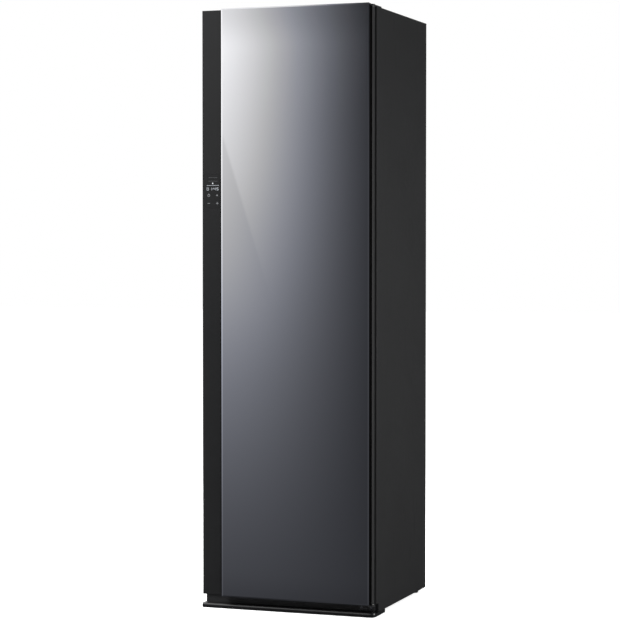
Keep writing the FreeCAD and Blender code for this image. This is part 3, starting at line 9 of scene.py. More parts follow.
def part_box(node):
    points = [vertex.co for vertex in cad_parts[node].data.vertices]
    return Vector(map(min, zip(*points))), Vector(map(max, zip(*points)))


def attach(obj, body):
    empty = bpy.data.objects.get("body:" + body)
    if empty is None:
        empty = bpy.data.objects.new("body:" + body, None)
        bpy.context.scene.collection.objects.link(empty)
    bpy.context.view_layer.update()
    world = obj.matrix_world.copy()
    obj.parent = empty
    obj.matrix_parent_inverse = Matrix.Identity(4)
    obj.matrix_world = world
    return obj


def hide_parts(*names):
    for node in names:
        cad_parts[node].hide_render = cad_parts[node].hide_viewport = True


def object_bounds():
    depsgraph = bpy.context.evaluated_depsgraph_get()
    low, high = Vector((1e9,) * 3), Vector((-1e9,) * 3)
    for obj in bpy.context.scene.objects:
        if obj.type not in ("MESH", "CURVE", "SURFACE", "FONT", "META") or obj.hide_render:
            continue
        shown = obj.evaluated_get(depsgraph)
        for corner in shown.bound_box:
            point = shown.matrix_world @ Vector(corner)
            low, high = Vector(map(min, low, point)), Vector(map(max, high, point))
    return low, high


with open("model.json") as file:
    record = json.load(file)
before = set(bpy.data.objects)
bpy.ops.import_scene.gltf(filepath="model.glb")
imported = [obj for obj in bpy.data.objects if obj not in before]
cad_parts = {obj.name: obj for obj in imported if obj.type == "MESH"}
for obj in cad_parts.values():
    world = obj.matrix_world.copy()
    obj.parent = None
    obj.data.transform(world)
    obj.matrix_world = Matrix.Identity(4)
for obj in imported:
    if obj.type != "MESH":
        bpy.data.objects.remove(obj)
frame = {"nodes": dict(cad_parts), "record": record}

bl_info = {
    "name": "Clothes Care Steam Cabinet",
    "version": (1, 0, 0),
    "blender": (4, 5, 0),
    "location": "3D View > Sidebar > Steam Cabinet",
    "description": "Models the cabinet's fine pieces, finishes every surface and sets up a studio",
    "category": "Object",
}

# Lengths are in metres. +X is to the right of someone facing the door, +Y is towards the wall
# and +Z is up, with the origin on the floor under the middle of the cabinet.
CAD_LOW, CAD_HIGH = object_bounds()
MM = 0.001


# ================================================================ settings
class StudioSettings(bpy.types.PropertyGroup):
    """The camera, the lamps, the floor and the reflectors round the cabinet."""
    lens: FloatProperty(
        name="Lens", description="Focal length on a 36 mm wide sensor",
        default=119.53, min=20.0, max=300.0)
    camera_place: FloatVectorProperty(
        name="Camera place", description="Where the camera stands",
        subtype="TRANSLATION", unit="LENGTH", size=3, default=(2.353, -6.5, 1.184))
    camera_turn: FloatProperty(
        name="Camera turn", description="How far the camera looks to the left of straight ahead",
        subtype="ANGLE", unit="ROTATION", default=math.radians(20.04))
    camera_dip: FloatProperty(
        name="Camera dip", description="How far the camera looks below the horizon",
        subtype="ANGLE", unit="ROTATION", default=math.radians(1.73))
    key_power: FloatProperty(
        name="Key lamp", description="Power of the large soft lamp in front, in watts",
        default=120.0, min=0.0)
    side_power: FloatProperty(
        name="Side lamp", description="Power of each of the two lamps at the sides, in watts",
        default=60.0, min=0.0)
    rear_power: FloatProperty(
        name="Rear lamp", description="Power of the lamp behind the cabinet, in watts",
        default=60.0, min=0.0)
    ambient: FloatProperty(
        name="Ambient light", description="Strength of the even light from all round",
        default=0.55, min=0.0, max=2.0)
    floor_size: FloatProperty(
        name="Floor size", description="Edge of the square floor",
        unit="LENGTH", default=60.0, min=5.0)
    reflector_distance: FloatProperty(
        name="Reflector distance", description="From the cabinet's middle to the graded reflector",
        unit="LENGTH", default=1.5, min=0.5)
    reflector_width: FloatProperty(
        name="Reflector width", description="Width of the graded reflector",
        unit="LENGTH", default=5.0, min=1.0)
    surround_radius: FloatProperty(
        name="Surround radius", description="Radius of the dark surround that glossy surfaces see",
        unit="LENGTH", default=3.4, min=2.0)


class GlassSettings(bpy.types.PropertyGroup):
    """The mirror-glass sheet on the door."""
    edge_width: FloatProperty(
        name="Polished edge", description="Width of the polished slope round the sheet",
        unit="LENGTH", default=4.2 * MM, min=0.5 * MM, max=10 * MM)
    edge_fall: FloatProperty(
        name="Edge fall", description="How far the polished slope falls back at the sheet's edge",
        unit="LENGTH", default=1.1 * MM, min=0.1 * MM, max=3 * MM)
    corner: FloatProperty(
        name="Corner radius", description="Radius of the sheet's four corners",
        unit="LENGTH", default=2.0 * MM, min=0.5 * MM, max=10 * MM)
    tint: FloatVectorProperty(
        name="Tint", description="Colour of the mirror coating",
        subtype="COLOR", size=3, min=0.0, max=1.0, default=(0.80, 0.82, 0.87))


class SealSettings(bpy.types.PropertyGroup):
    """The soft magnetic seal round the door's back."""
    breadth: FloatProperty(
        name="Breadth", description="Breadth of the seal's ring",
        unit="LENGTH", default=9.0 * MM, min=5.0 * MM)
    foot: FloatProperty(
        name="Foot", description="Thickness of the seal's foot on the door liner",
        unit="LENGTH", default=2.2 * MM, min=0.5 * MM)
    head: FloatProperty(
        name="Head", description="Thickness of the magnet pocket that meets the case",
        unit="LENGTH", default=4.2 * MM, min=1.0 * MM)
    waist_inset: FloatProperty(
        name="Waist", description="How far the bellows is narrower than the head, on each side",
        unit="LENGTH", default=2.0 * MM, min=0.2 * MM)
    softness: FloatProperty(
        name="Softness", description="Rounding of every edge of the moulded seal",
        unit="LENGTH", default=0.7 * MM, min=0.1 * MM)


class DisplaySettings(bpy.types.PropertyGroup):
    """The lit marks on the control column's window."""
    reading: StringProperty(
        name="Reading", description="Hours and minutes left, in plain digits", default="01:45")
    digit_height: FloatProperty(
        name="Digit height", description="Height of a lit digit",
        unit="LENGTH", default=9.0 * MM, min=2 * MM)
    stroke: FloatProperty(
        name="Stroke", description="Width of a digit's bar",
        unit="LENGTH", default=1.7 * MM, min=0.2 * MM)
    progress: FloatProperty(
        name="Progress bar", description="Length of the row of lit bars over the digits",
        unit="LENGTH", default=44.0 * MM, min=5 * MM)
    progress_bars: IntProperty(
        name="Progress bars", description="Number of bars in that row", default=10, min=1, max=20)
    shift: FloatProperty(
        name="Shift", description="From the window's middle to the middle of its marks",
        unit="LENGTH", default=5.0 * MM)
    mark_stroke: FloatProperty(
        name="Mark stroke", description="Width of the lines of the touch marks",
        unit="LENGTH", default=1.6 * MM, min=0.1 * MM)
    mark_half: FloatProperty(
        name="Mark half size", description="Half of a touch mark's width",
        unit="LENGTH", default=4.4 * MM, min=1 * MM)
    mark_pitch: FloatVectorProperty(
        name="Mark pitch", description="Distance between the touch marks, across and up",
        unit="LENGTH", size=2, default=(30.0 * MM, 26.0 * MM))
    mark_rise: FloatProperty(
        name="Mark rise", description="From the window's lower edge to the lower touch marks",
        unit="LENGTH", default=16.0 * MM)
    film: FloatProperty(
        name="Film", description="Thickness of the printed marks",
        unit="LENGTH", default=0.1 * MM, min=0.01 * MM)
    digit_glow: FloatProperty(
        name="Digit glow", description="Brightness of the lit digits", default=0.55, min=0.0)
    mark_glow: FloatProperty(
        name="Mark glow", description="Brightness of the touch marks", default=0.30, min=0.0)


class PressSettings(bpy.types.PropertyGroup):
    """The padded cover of the trouser press and the lugs of its hinge."""
    board: FloatProperty(
        name="Board", description="Thickness of the filled pad",
        unit="LENGTH", default=9 * MM, min=4 * MM)
    bag: FloatProperty(
        name="Bag", description="Thickness of the cover before it is filled",
        unit="LENGTH", default=6.2 * MM, min=2 * MM)
    corner: FloatProperty(
        name="Corner", description="Radius of the pad's corners", unit="LENGTH", default=14 * MM, min=0.0)
    channels: IntProperty(
        name="Channels", description="Number of padded channels between the sewn lines",
        default=6, min=1, max=12)
    columns: IntProperty(
        name="Columns", description="Faces across the pad", default=50, min=8, max=80)
    rows_per_channel: IntProperty(
        name="Rows in a channel", description="Faces up each channel", default=18, min=4, max=24)
    sewn_inset: FloatProperty(
        name="Sewn inset", description="From the pad's sides to the ends of a sewn line",
        unit="LENGTH", default=14 * MM, min=0.0)
    edge_pull: FloatProperty(
        name="Edge pull", description="How far the sides pull in between the corners",
        unit="LENGTH", default=2.5 * MM, min=0.0)
    filling: FloatProperty(
        name="Filling", description="Pressure of the filling on the cover, in pascals",
        default=1.6, min=0.0)
    swell: FloatProperty(
        name="Swell", description="How far a point of the cover may move while it is filled",
        unit="LENGTH", default=4.2 * MM, min=0.0)
    hinge_reach: FloatProperty(
        name="Hinge reach", description="From the pad's edge to the hinge pins",
        unit="LENGTH", default=12 * MM, min=0.0)
    end_gap: FloatProperty(
        name="End gap", description="Between a lug and the leaf's end", unit="LENGTH", default=4 * MM)
    pin: FloatProperty(
        name="Pin", description="Radius of the hinge pins", unit="LENGTH", default=3 * MM, min=0.5 * MM)
    pin_reach: FloatProperty(
        name="Pin reach", description="How far a pin stands out of its lug",
        unit="LENGTH", default=18 * MM, min=0.0)


class ScrewSettings(bpy.types.PropertyGroup):
    """The case and hinge screws."""
    head_round: FloatProperty(
        name="Head rounding", description="Rounding of the pan head's rim",
        unit="LENGTH", default=0.5 * MM, min=0.1 * MM)
    recess_reach: FloatProperty(
        name="Recess reach", description="Length of the cross recess",
        unit="LENGTH", default=4.6 * MM, min=1 * MM)
    recess_width: FloatProperty(
        name="Recess width", description="Width of the cross recess's arms",
        unit="LENGTH", default=1.0 * MM, min=0.2 * MM)
    recess_depth: FloatProperty(
        name="Recess depth", description="Depth of the cross recess",
        unit="LENGTH", default=0.8 * MM, min=0.1 * MM)


class LouvreSettings(bpy.types.PropertyGroup):
    """The slanted blades behind the slots in the rear panel."""
    count: IntProperty(name="Count", description="Number of slots", default=9, min=1)
    first: FloatProperty(
        name="First slot", description="Height of the lowest slot's lower edge",
        unit="LENGTH", default=64 * MM)
    pitch: FloatProperty(
        name="Pitch", description="Distance from slot to slot", unit="LENGTH", default=16 * MM)
    slot_height: FloatProperty(
        name="Slot height", description="Height of a slot", unit="LENGTH", default=4 * MM)
    width: FloatProperty(
        name="Width", description="Length of a blade", unit="LENGTH", default=264 * MM)
    reach: FloatProperty(
        name="Reach", description="How far a blade reaches into the cabinet",
        unit="LENGTH", default=7 * MM)
    fall: FloatProperty(
        name="Fall", description="How far a blade slopes down inwards", unit="LENGTH", default=6 * MM)
    sheet: FloatProperty(
        name="Sheet", description="Thickness of a blade", unit="LENGTH", default=0.8 * MM)


class TankSettings(bpy.types.PropertyGroup):
    """The moulded level marks on the two water tanks."""
    marks: IntProperty(name="Marks", description="Number of level lines", default=5, min=1)
    top_gap: FloatProperty(
        name="Top gap", description="From the tank's top to the highest line",
        unit="LENGTH", default=30 * MM)
    bottom_gap: FloatProperty(
        name="Bottom gap", description="From the tank's bottom to the lowest line",
        unit="LENGTH", default=40 * MM)
    length: FloatProperty(
        name="Length", description="Length of the longest line", unit="LENGTH", default=26 * MM)
    thickness: FloatProperty(
        name="Thickness", description="Height of a line", unit="LENGTH", default=1.6 * MM)
    rise: FloatProperty(
        name="Rise", description="How far a line stands out of the tank", unit="LENGTH", default=0.6 * MM)


class ColourSettings(bpy.types.PropertyGroup):
    """The colours of the finishes that the cabinet is sold in."""
    case_paint: FloatVectorProperty(
        name="Case paint", description="Satin black powder coat on the case",
        subtype="COLOR", size=3, min=0.0, max=1.0, default=(0.0175, 0.0177, 0.0183))
    column: FloatVectorProperty(
        name="Control column", description="Satin black of the control column",
        subtype="COLOR", size=3, min=0.0, max=1.0, default=(0.0125, 0.0127, 0.0133))
    trim: FloatVectorProperty(
        name="Trim", description="Black of the plinth and floor trim",
        subtype="COLOR", size=3, min=0.0, max=1.0, default=(0.004, 0.004, 0.0042))
    liner: FloatVectorProperty(
        name="Chamber liner", description="Light grey of the chamber's moulded liner",
        subtype="COLOR", size=3, min=0.0, max=1.0, default=(0.40, 0.41, 0.42))
    seal: FloatVectorProperty(
        name="Seal", description="Dark grey of the door seal",
        subtype="COLOR", size=3, min=0.0, max=1.0, default=(0.055, 0.056, 0.060))
    cover: FloatVectorProperty(
        name="Press cover", description="Grey cloth of the trouser press",
        subtype="COLOR", size=3, min=0.0, max=1.0, default=(0.16, 0.165, 0.175))


def settings(context, name):
    """One settings group of the scene."""
    return getattr(context.scene, "cabinet_" + name)


# ================================================================ node helpers
def add_node(tree, kind, **values):
    """A new node; a value named after an input socket sets that socket."""
    node = tree.nodes.new("ShaderNode" + kind)
    for name, value in values.items():
        if hasattr(node, name) and name not in node.inputs:
            setattr(node, name, value)
        else:
            node.inputs[name].default_value = value
    return node


def join(tree, source, target):
    """A link from an output socket to an input socket."""
    tree.links.new(source, target)


def arithmetic(tree, operation, first, second=None, third=None, clamp=False):
    """A Math node fed by sockets or plain numbers; gives its result socket."""
    node = tree.nodes.new("ShaderNodeMath")
    node.operation = operation
    node.use_clamp = clamp
    for socket, value in zip(node.inputs, (first, second, third)):
        if value is None:
            continue
        if isinstance(value, bpy.types.NodeSocket):
            tree.links.new(value, socket)
        else:
            socket.default_value = value
    return node.outputs[0]


def smooth_step(tree, value, start, end):
    """0 before start, 1 after end and smooth between them."""
    node = tree.nodes.new("ShaderNodeMapRange")
    node.interpolation_type = "SMOOTHSTEP"
    tree.links.new(value, node.inputs["Value"])
    node.inputs["From Min"].default_value = start
    node.inputs["From Max"].default_value = end
    return node.outputs["Result"]


def rescale(tree, value, low, high):
    """A mask from 0 to 1 brought to another range."""
    node = tree.nodes.new("ShaderNodeMapRange")
    tree.links.new(value, node.inputs["Value"])
    node.inputs["To Min"].default_value = low
    node.inputs["To Max"].default_value = high
    return node.outputs["Result"]


def mix_colour(tree, factor, first, second):
    """A colour mix fed by sockets or plain colours; gives its result socket."""
    node = tree.nodes.new("ShaderNodeMix")
    node.data_type = "RGBA"
    for socket, value in zip((node.inputs[0], node.inputs[6], node.inputs[7]), (factor, first, second)):
        if isinstance(value, bpy.types.NodeSocket):
            tree.links.new(value, socket)
        elif isinstance(value, float):
            socket.default_value = value
        else:
            socket.default_value = (*value, 1.0)
    return node.outputs[2]


def object_place(tree):
    """The place of a point in the cabinet's own frame."""
    return add_node(tree, "TexCoord").outputs["Object"]


def axes_of(tree, vector):
    """The sockets of a vector's three values, by the names X, Y and Z."""
    parts = add_node(tree, "SeparateXYZ")
    join(tree, vector, parts.inputs["Vector"])
    return parts.outputs


def stretched(tree, scale):
    """The object's coordinates stretched by a scale for each axis."""
    mapping = add_node(tree, "Mapping", Scale=scale)
    join(tree, object_place(tree), mapping.inputs["Vector"])
    return mapping.outputs["Vector"]


def pattern(tree, kind, **values):
    """A texture node that follows the object's own coordinates."""
    node = add_node(tree, "Tex" + kind, **values)
    join(tree, object_place(tree), node.inputs["Vector"])
    return node


def noise(tree, vector, scale, detail=2.0, roughness=0.5):
    """The grey value of a noise texture."""
    node = add_node(tree, "TexNoise", Scale=scale, Detail=detail, Roughness=roughness)
    join(tree, vector, node.inputs["Vector"])
    return node.outputs["Fac"]


# ================================================================ shared effects
def start_group(name, inputs, outputs):
    """An empty node group with named number inputs and named outputs."""
    group = bpy.data.node_groups.new(name, "ShaderNodeTree")
    for label, default in inputs:
        socket = group.interface.new_socket(name=label, in_out="INPUT", socket_type="NodeSocketFloat")
        socket.default_value = default
    for label, kind in outputs:
        group.interface.new_socket(name=label, in_out="OUTPUT", socket_type=kind)
    entry = group.nodes.new("NodeGroupInput")
    leaving = group.nodes.new("NodeGroupOutput")
    return group, entry.outputs, leaving.inputs


def build_edge_wear_and_highlight():
    """Softly rounded edges, and a mask of the edges that hands and cloths scuff, which the finishes also
    paint lighter as a painted highlight.
    """
    group, given, gives = start_group(
        "edge_wear_and_highlight", [("Radius", 0.001), ("Breadth", 0.5)],
        [("Normal", "NodeSocketVector"), ("Mask", "NodeSocketFloat")])
    soft = add_node(group, "Bevel", samples=4)
    join(group, given["Radius"], soft.inputs["Radius"])
    face = add_node(group, "NewGeometry")
    agree = add_node(group, "VectorMath", operation="DOT_PRODUCT")
    join(group, soft.outputs["Normal"], agree.inputs[0])
    join(group, face.outputs["Normal"], agree.inputs[1])
    bend = arithmetic(group, "SUBTRACT", 1.0, agree.outputs["Value"], clamp=True)
    patchy = noise(group, object_place(group), 38.0, 4.0, 0.65)
    edge_mask = arithmetic(group, "MULTIPLY", bend, patchy)
    spread = arithmetic(group, "MULTIPLY", given["Breadth"], 16.0)
    # this mask marks edges both for scuffing and for a painted highlight
    join(group, arithmetic(group, "MULTIPLY", edge_mask, spread, clamp=True), gives["Mask"])
    join(group, soft.outputs["Normal"], gives["Normal"])
    return group


def build_mottle():
    """Slow change of tone over a panel, with faint wiping marks in it."""
    group, given, gives = start_group(
        "mottle", [("Scale", 4.0)], [("Tone", "NodeSocketFloat"), ("Smudge", "NodeSocketFloat")])
    cloud = pattern(group, "Noise", Detail=5.0, Roughness=0.6)
    join(group, given["Scale"], cloud.inputs["Scale"])
    join(group, cloud.outputs["Fac"], gives["Tone"])
    wiped = noise(group, stretched(group, (9.0, 9.0, 2.2)), 2.6, 6.0, 0.7)
    join(group, smooth_step(group, wiped, 0.52, 0.78), gives["Smudge"])
    return group


def build_grain():
    """The fine pebbled skin of powder coat and of moulded plastic."""
    group, given, gives = start_group(
        "grain", [("Size", 0.001)], [("Height", "NodeSocketFloat"), ("Speck", "NodeSocketFloat")])
    scale = arithmetic(group, "DIVIDE", 1.0, given["Size"])
    fine = pattern(group, "Noise", Detail=2.0, Roughness=0.55)
    join(group, scale, fine.inputs["Scale"])
    pebble = pattern(group, "Voronoi", feature="SMOOTH_F1", Smoothness=0.6)
    join(group, arithmetic(group, "MULTIPLY", scale, 0.6), pebble.inputs["Scale"])
    both = arithmetic(group, "MULTIPLY", fine.outputs["Fac"], pebble.outputs["Distance"])
    join(group, both, gives["Height"])
    join(group, smooth_step(group, fine.outputs["Fac"], 0.6, 0.75), gives["Speck"])
    return group


def build_dust():
    """Fine dust that settles on faces that look up."""
    group, given, gives = start_group("dust", [("Amount", 0.2)], [("Mask", "NodeSocketFloat")])
    face = add_node(group, "NewGeometry")
    upward = smooth_step(group, axes_of(group, face.outputs["Normal"])["Z"], 0.75, 1.0)
    patchy = rescale(group, noise(group, object_place(group), 14.0, 7.0, 0.7), 0.3, 1.0)
    settled = arithmetic(group, "MULTIPLY", upward, patchy)
    join(group, arithmetic(group, "MULTIPLY", settled, given["Amount"], clamp=True), gives["Mask"])
    return group


def build_brushing():
    """Fine drawn lines along one axis; the along values are small on that axis."""
    group, given, gives = start_group(
        "brushing", [("Along X", 900.0), ("Along Y", 900.0), ("Along Z", 12.0)],
        [("Lines", "NodeSocketFloat")])
    scale = add_node(group, "CombineXYZ")
    for label, socket in zip(("Along X", "Along Y", "Along Z"), scale.inputs):
        join(group, given[label], socket)
    place = add_node(group, "VectorMath", operation="MULTIPLY")
    join(group, object_place(group), place.inputs[0])
    join(group, scale.outputs["Vector"], place.inputs[1])
    join(group, noise(group, place.outputs["Vector"], 1.0, 3.0, 0.6), gives["Lines"])
    return group


def build_spangle():
    """The crystal pattern of zinc-coated sheet."""
    group, given, gives = start_group("spangle", [("Size", 0.012)], [("Tone", "NodeSocketFloat")])
    crystal = pattern(group, "Voronoi", feature="F1")
    join(group, arithmetic(group, "DIVIDE", 1.0, given["Size"]), crystal.inputs["Scale"])
    grey = add_node(group, "SeparateColor")
    join(group, crystal.outputs["Color"], grey.inputs["Color"])
    join(group, grey.outputs["Red"], gives["Tone"])
    return group


def build_weave():
    """Two sets of threads that pass over and under each other, in the XZ plane. Shade is the threads'
    height times an uneven slub, which the cloth uses as painted shade in the hollows between threads.
    """
    group, given, gives = start_group(
        "weave", [("Thread", 0.001)], [("Height", "NodeSocketFloat"), ("Shade", "NodeSocketFloat")])
    place = axes_of(group, object_place(group))
    turn = arithmetic(group, "DIVIDE", math.pi, given["Thread"])
    across = arithmetic(group, "SINE", arithmetic(group, "MULTIPLY", place["X"], turn))
    up = arithmetic(group, "SINE", arithmetic(group, "MULTIPLY", place["Z"], turn))
    over = arithmetic(group, "MULTIPLY", across, up)
    warp = arithmetic(group, "ABSOLUTE", across)
    weft = arithmetic(group, "ABSOLUTE", up)
    chooser = smooth_step(group, over, -0.25, 0.25)
    threads = add_node(group, "Mix", data_type="FLOAT")
    join(group, chooser, threads.inputs[0])
    join(group, warp, threads.inputs[2])
    join(group, weft, threads.inputs[3])
    join(group, threads.outputs[0], gives["Height"])
    slub = noise(group, stretched(group, (400.0, 400.0, 60.0)), 1.0, 3.0, 0.6)
    join(group, arithmetic(group, "MULTIPLY", threads.outputs[0], slub), gives["Shade"])
    return group


EFFECT_BUILDERS = {
    "edge_wear_and_highlight": build_edge_wear_and_highlight, "mottle": build_mottle, "grain": build_grain, "dust": build_dust,
    "brushing": build_brushing, "spangle": build_spangle, "weave": build_weave,
}


def effect(tree, name, **values):
    """A shared effect placed in a material; the group is built the first time it is needed."""
    group = bpy.data.node_groups.get(name) or EFFECT_BUILDERS[name]()
    node = tree.nodes.new("ShaderNodeGroup")
    node.node_tree = group
    for label, value in values.items():
        node.inputs[label.replace("_", " ")].default_value = value
    return node.outputs


# ================================================================ finishes
def start_material(name):
    """A new material, its node tree and its Principled shader."""
    material = bpy.data.materials.new(name)
    material.use_nodes = True
    tree = material.node_tree
    return material, tree, tree.nodes["Principled BSDF"]


def darker(colour, share):
    """A colour with each of its channels multiplied by a share; past 1 it is lighter."""
    return tuple(channel * share for channel in colour)


def bump(tree, height, distance, strength, under=None):
    """A bump from a height, over an optional normal that is already there."""
    node = add_node(tree, "Bump", Strength=strength, Distance=distance)
    join(tree, height, node.inputs["Height"])
    if under is not None:
        join(tree, under, node.inputs["Normal"])
    return node.outputs["Normal"]


DUST_GREY = (0.30, 0.29, 0.27)


def coated(name, colour, roughness, specular=0.5, grain=0.8, depth=0.04, dust=0.06, rub_and_highlight=1.6):
    """Paint or moulded plastic: pebbled skin, slow change of tone, edges painted lighter for scuffing and
    as a painted highlight, and a little dust.

    grain is the pebbles' size and depth their height, both in millimetres; rub_and_highlight is how much
    lighter the edges are painted, partly for scuffing and partly as a painted highlight."""
    material, tree, shader = start_material(name)
    tone = effect(tree, "mottle", Scale=5.0)
    skin = effect(tree, "grain", Size=grain * MM)
    wear_and_highlight = effect(tree, "edge_wear_and_highlight", Radius=0.6 * MM, Breadth=0.3)
    settled = effect(tree, "dust", Amount=dust)
    body = mix_colour(tree, tone["Tone"], darker(colour, 0.90), darker(colour, 1.10))
    speck = arithmetic(tree, "MULTIPLY", skin["Speck"], 0.35)
    specked = mix_colour(tree, speck, body, darker(colour, 1.25))
    # edges painted lighter: partly scuffing, partly a painted highlight on the rounded edges
    rubbed_and_highlit = mix_colour(tree, wear_and_highlight["Mask"], specked, darker(colour, rub_and_highlight))
    dusted = mix_colour(tree, settled["Mask"], rubbed_and_highlit, DUST_GREY)
    join(tree, dusted, shader.inputs["Base Color"])
    gloss = rescale(tree, tone["Tone"], roughness - 0.05, roughness + 0.05)
    smudged = arithmetic(tree, "MULTIPLY_ADD", tone["Smudge"], 0.07, gloss)
    polished = arithmetic(tree, "MULTIPLY_ADD", wear_and_highlight["Mask"], -0.12, smudged)
    join(tree, arithmetic(tree, "ADD", polished, settled["Mask"], clamp=True), shader.inputs["Roughness"])
    shader.inputs["Specular IOR Level"].default_value = specular
    join(tree, bump(tree, skin["Height"], depth * MM, 0.6, wear_and_highlight["Normal"]), shader.inputs["Normal"])
    return material


def drawn_metal(name, colour, roughness, along, stain=0.12):
    """Bare or plated metal with fine drawn lines along one axis."""
    material, tree, shader = start_material(name)
    runs = {"Along_" + axis: (14.0 if axis == along else 1100.0) for axis in "XYZ"}
    lines = effect(tree, "brushing", **runs)
    tone = effect(tree, "mottle", Scale=9.0)
    wear_and_highlight = effect(tree, "edge_wear_and_highlight", Radius=0.4 * MM, Breadth=0.3)
    body = mix_colour(tree, lines["Lines"], darker(colour, 0.82), darker(colour, 1.06))
    spots = arithmetic(tree, "MULTIPLY", tone["Smudge"], stain)
    stained = mix_colour(tree, spots, body, darker(colour, 0.45))
    # edges painted lighter: partly scuffing, partly a painted highlight
    rubbed_and_highlit = mix_colour(tree, wear_and_highlight["Mask"], stained, darker(colour, 1.15))
    join(tree, rubbed_and_highlit, shader.inputs["Base Color"])
    gloss = rescale(tree, lines["Lines"], roughness - 0.06, roughness + 0.08)
    smudged = arithmetic(tree, "MULTIPLY_ADD", tone["Smudge"], 0.12, gloss, clamp=True)
    join(tree, smudged, shader.inputs["Roughness"])
    shader.inputs["Metallic"].default_value = 1.0
    join(tree, bump(tree, lines["Lines"], 0.02 * MM, 0.5, wear_and_highlight["Normal"]), shader.inputs["Normal"])
    return material


def zinc_sheet(name, colour, roughness):
    """Galvanised sheet with its crystal pattern."""
    material, tree, shader = start_material(name)
    crystal = effect(tree, "spangle", Size=0.011)
    tone = effect(tree, "mottle", Scale=6.0)
    wear_and_highlight = effect(tree, "edge_wear_and_highlight", Radius=0.4 * MM, Breadth=0.4)
    body = mix_colour(tree, crystal["Tone"], darker(colour, 0.78), darker(colour, 1.08))
    oxide = mix_colour(tree, arithmetic(tree, "MULTIPLY", tone["Smudge"], 0.4), body, (0.42, 0.43, 0.44))
    # edges painted lighter: partly scuffing, partly a painted highlight
    join(tree, mix_colour(tree, wear_and_highlight["Mask"], oxide, darker(colour, 1.2)), shader.inputs["Base Color"])
    gloss = rescale(tree, crystal["Tone"], roughness - 0.07, roughness + 0.1)
    join(tree, gloss, shader.inputs["Roughness"])
    shader.inputs["Metallic"].default_value = 1.0
    join(tree, bump(tree, crystal["Tone"], 0.01 * MM, 0.4, wear_and_highlight["Normal"]), shader.inputs["Normal"])
    return material


def mirror_coating(name, tint):
    """Tinted mirror glass: an even coating, with the faint waviness and wiping marks of a large sheet."""
    material, tree, shader = start_material(name)
    tone = effect(tree, "mottle", Scale=3.0)
    join(tree, mix_colour(tree, tone["Tone"], darker(tint, 0.985), tint), shader.inputs["Base Color"])
    join(tree, rescale(tree, tone["Smudge"], 0.030, 0.055), shader.inputs["Roughness"])
    shader.inputs["Metallic"].default_value = 1.0
    wave = noise(tree, stretched(tree, (1.0, 1.0, 0.45)), 5.0, 1.0, 0.3)
    join(tree, bump(tree, wave, 0.08 * MM, 0.5), shader.inputs["Normal"])
    return material


FLAT_BLACK = (0.0012,) * 3


def ground_edge(name):
    """The fine-ground edge and the painted back of the mirror sheet, almost black."""
    material, tree, shader = start_material(name)
    skin = effect(tree, "grain", Size=0.25 * MM)
    tone = effect(tree, "mottle", Scale=25.0)
    join(tree, mix_colour(tree, tone["Tone"], FLAT_BLACK, (0.0022,) * 3), shader.inputs["Base Color"])
    join(tree, rescale(tree, tone["Smudge"], 0.60, 0.75), shader.inputs["Roughness"])
    shader.inputs["Specular IOR Level"].default_value = 0.05
    join(tree, bump(tree, skin["Height"], 0.02 * MM, 0.5), shader.inputs["Normal"])
    return material


# the plate that carries the mirror sheet, and where behind its back its painted black begins and is full:
# a painted shade in the groove between the glass and the frame
CARRIER_THICKNESS = 6.0 * MM
BLACK_BEGINS, BLACK_FULL = 1.4 * MM, 0.6 * MM


def door_paint(name, colour):
    """The door frame's black paint; the plate that carries the mirror is painted blacker and flatter, a
    painted shade in the groove between the glass and the frame.
    """
    material = coated(name, colour, 0.42, specular=0.12, grain=0.5, depth=0.02, rub_and_highlight=1.3)
    tree = material.node_tree
    shader = tree.nodes["Principled BSDF"]
    plate_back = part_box("door_glass")[1].y + CARRIER_THICKNESS
    depth = axes_of(tree, object_place(tree))["Y"]
    plate = smooth_step(tree, depth, plate_back + BLACK_BEGINS, plate_back + BLACK_FULL)
    painted = shader.inputs["Base Color"].links[0].from_socket
    # the carrier plate painted near black: a painted shade in the groove beside the glass
    join(tree, mix_colour(tree, plate, painted, FLAT_BLACK), shader.inputs["Base Color"])
    gloss = shader.inputs["Roughness"].links[0].from_socket
    flatter = arithmetic(tree, "MULTIPLY_ADD", plate, 0.4, gloss, clamp=True)
    join(tree, flatter, shader.inputs["Roughness"])
    return material


def smoked_window(name, colour):
    """The dark window over the display, which almost vanishes in the column's black."""
    material, tree, shader = start_material(name)
    tone = effect(tree, "mottle", Scale=12.0)
    wear_and_highlight = effect(tree, "edge_wear_and_highlight", Radius=0.3 * MM, Breadth=0.2)
    body = mix_colour(tree, tone["Tone"], darker(colour, 0.9), darker(colour, 1.1))
    # edges painted lighter: partly scuffing, partly a painted highlight
    join(tree, mix_colour(tree, wear_and_highlight["Mask"], body, darker(colour, 1.3)), shader.inputs["Base Color"])
    join(tree, rescale(tree, tone["Smudge"], 0.36, 0.44), shader.inputs["Roughness"])
    shader.inputs["Specular IOR Level"].default_value = 0.07
    join(tree, wear_and_highlight["Normal"], shader.inputs["Normal"])
    return material


def tank_plastic(name, colour):
    """Clear, slightly cloudy moulded plastic of the water tanks."""
    material, tree, shader = start_material(name)
    tone = effect(tree, "mottle", Scale=7.0)
    wear_and_highlight = effect(tree, "edge_wear_and_highlight", Radius=0.8 * MM, Breadth=0.3)
    body = mix_colour(tree, tone["Tone"], darker(colour, 0.93), darker(colour, 1.04))
    lime = mix_colour(tree, arithmetic(tree, "MULTIPLY", tone["Smudge"], 0.06), body, (0.9, 0.9, 0.88))
    join(tree, lime, shader.inputs["Base Color"])
    join(tree, rescale(tree, tone["Smudge"], 0.30, 0.38), shader.inputs["Roughness"])
    shader.inputs["Transmission Weight"].default_value = 0.55
    shader.inputs["IOR"].default_value = 1.49
    join(tree, wear_and_highlight["Normal"], shader.inputs["Normal"])
    return material


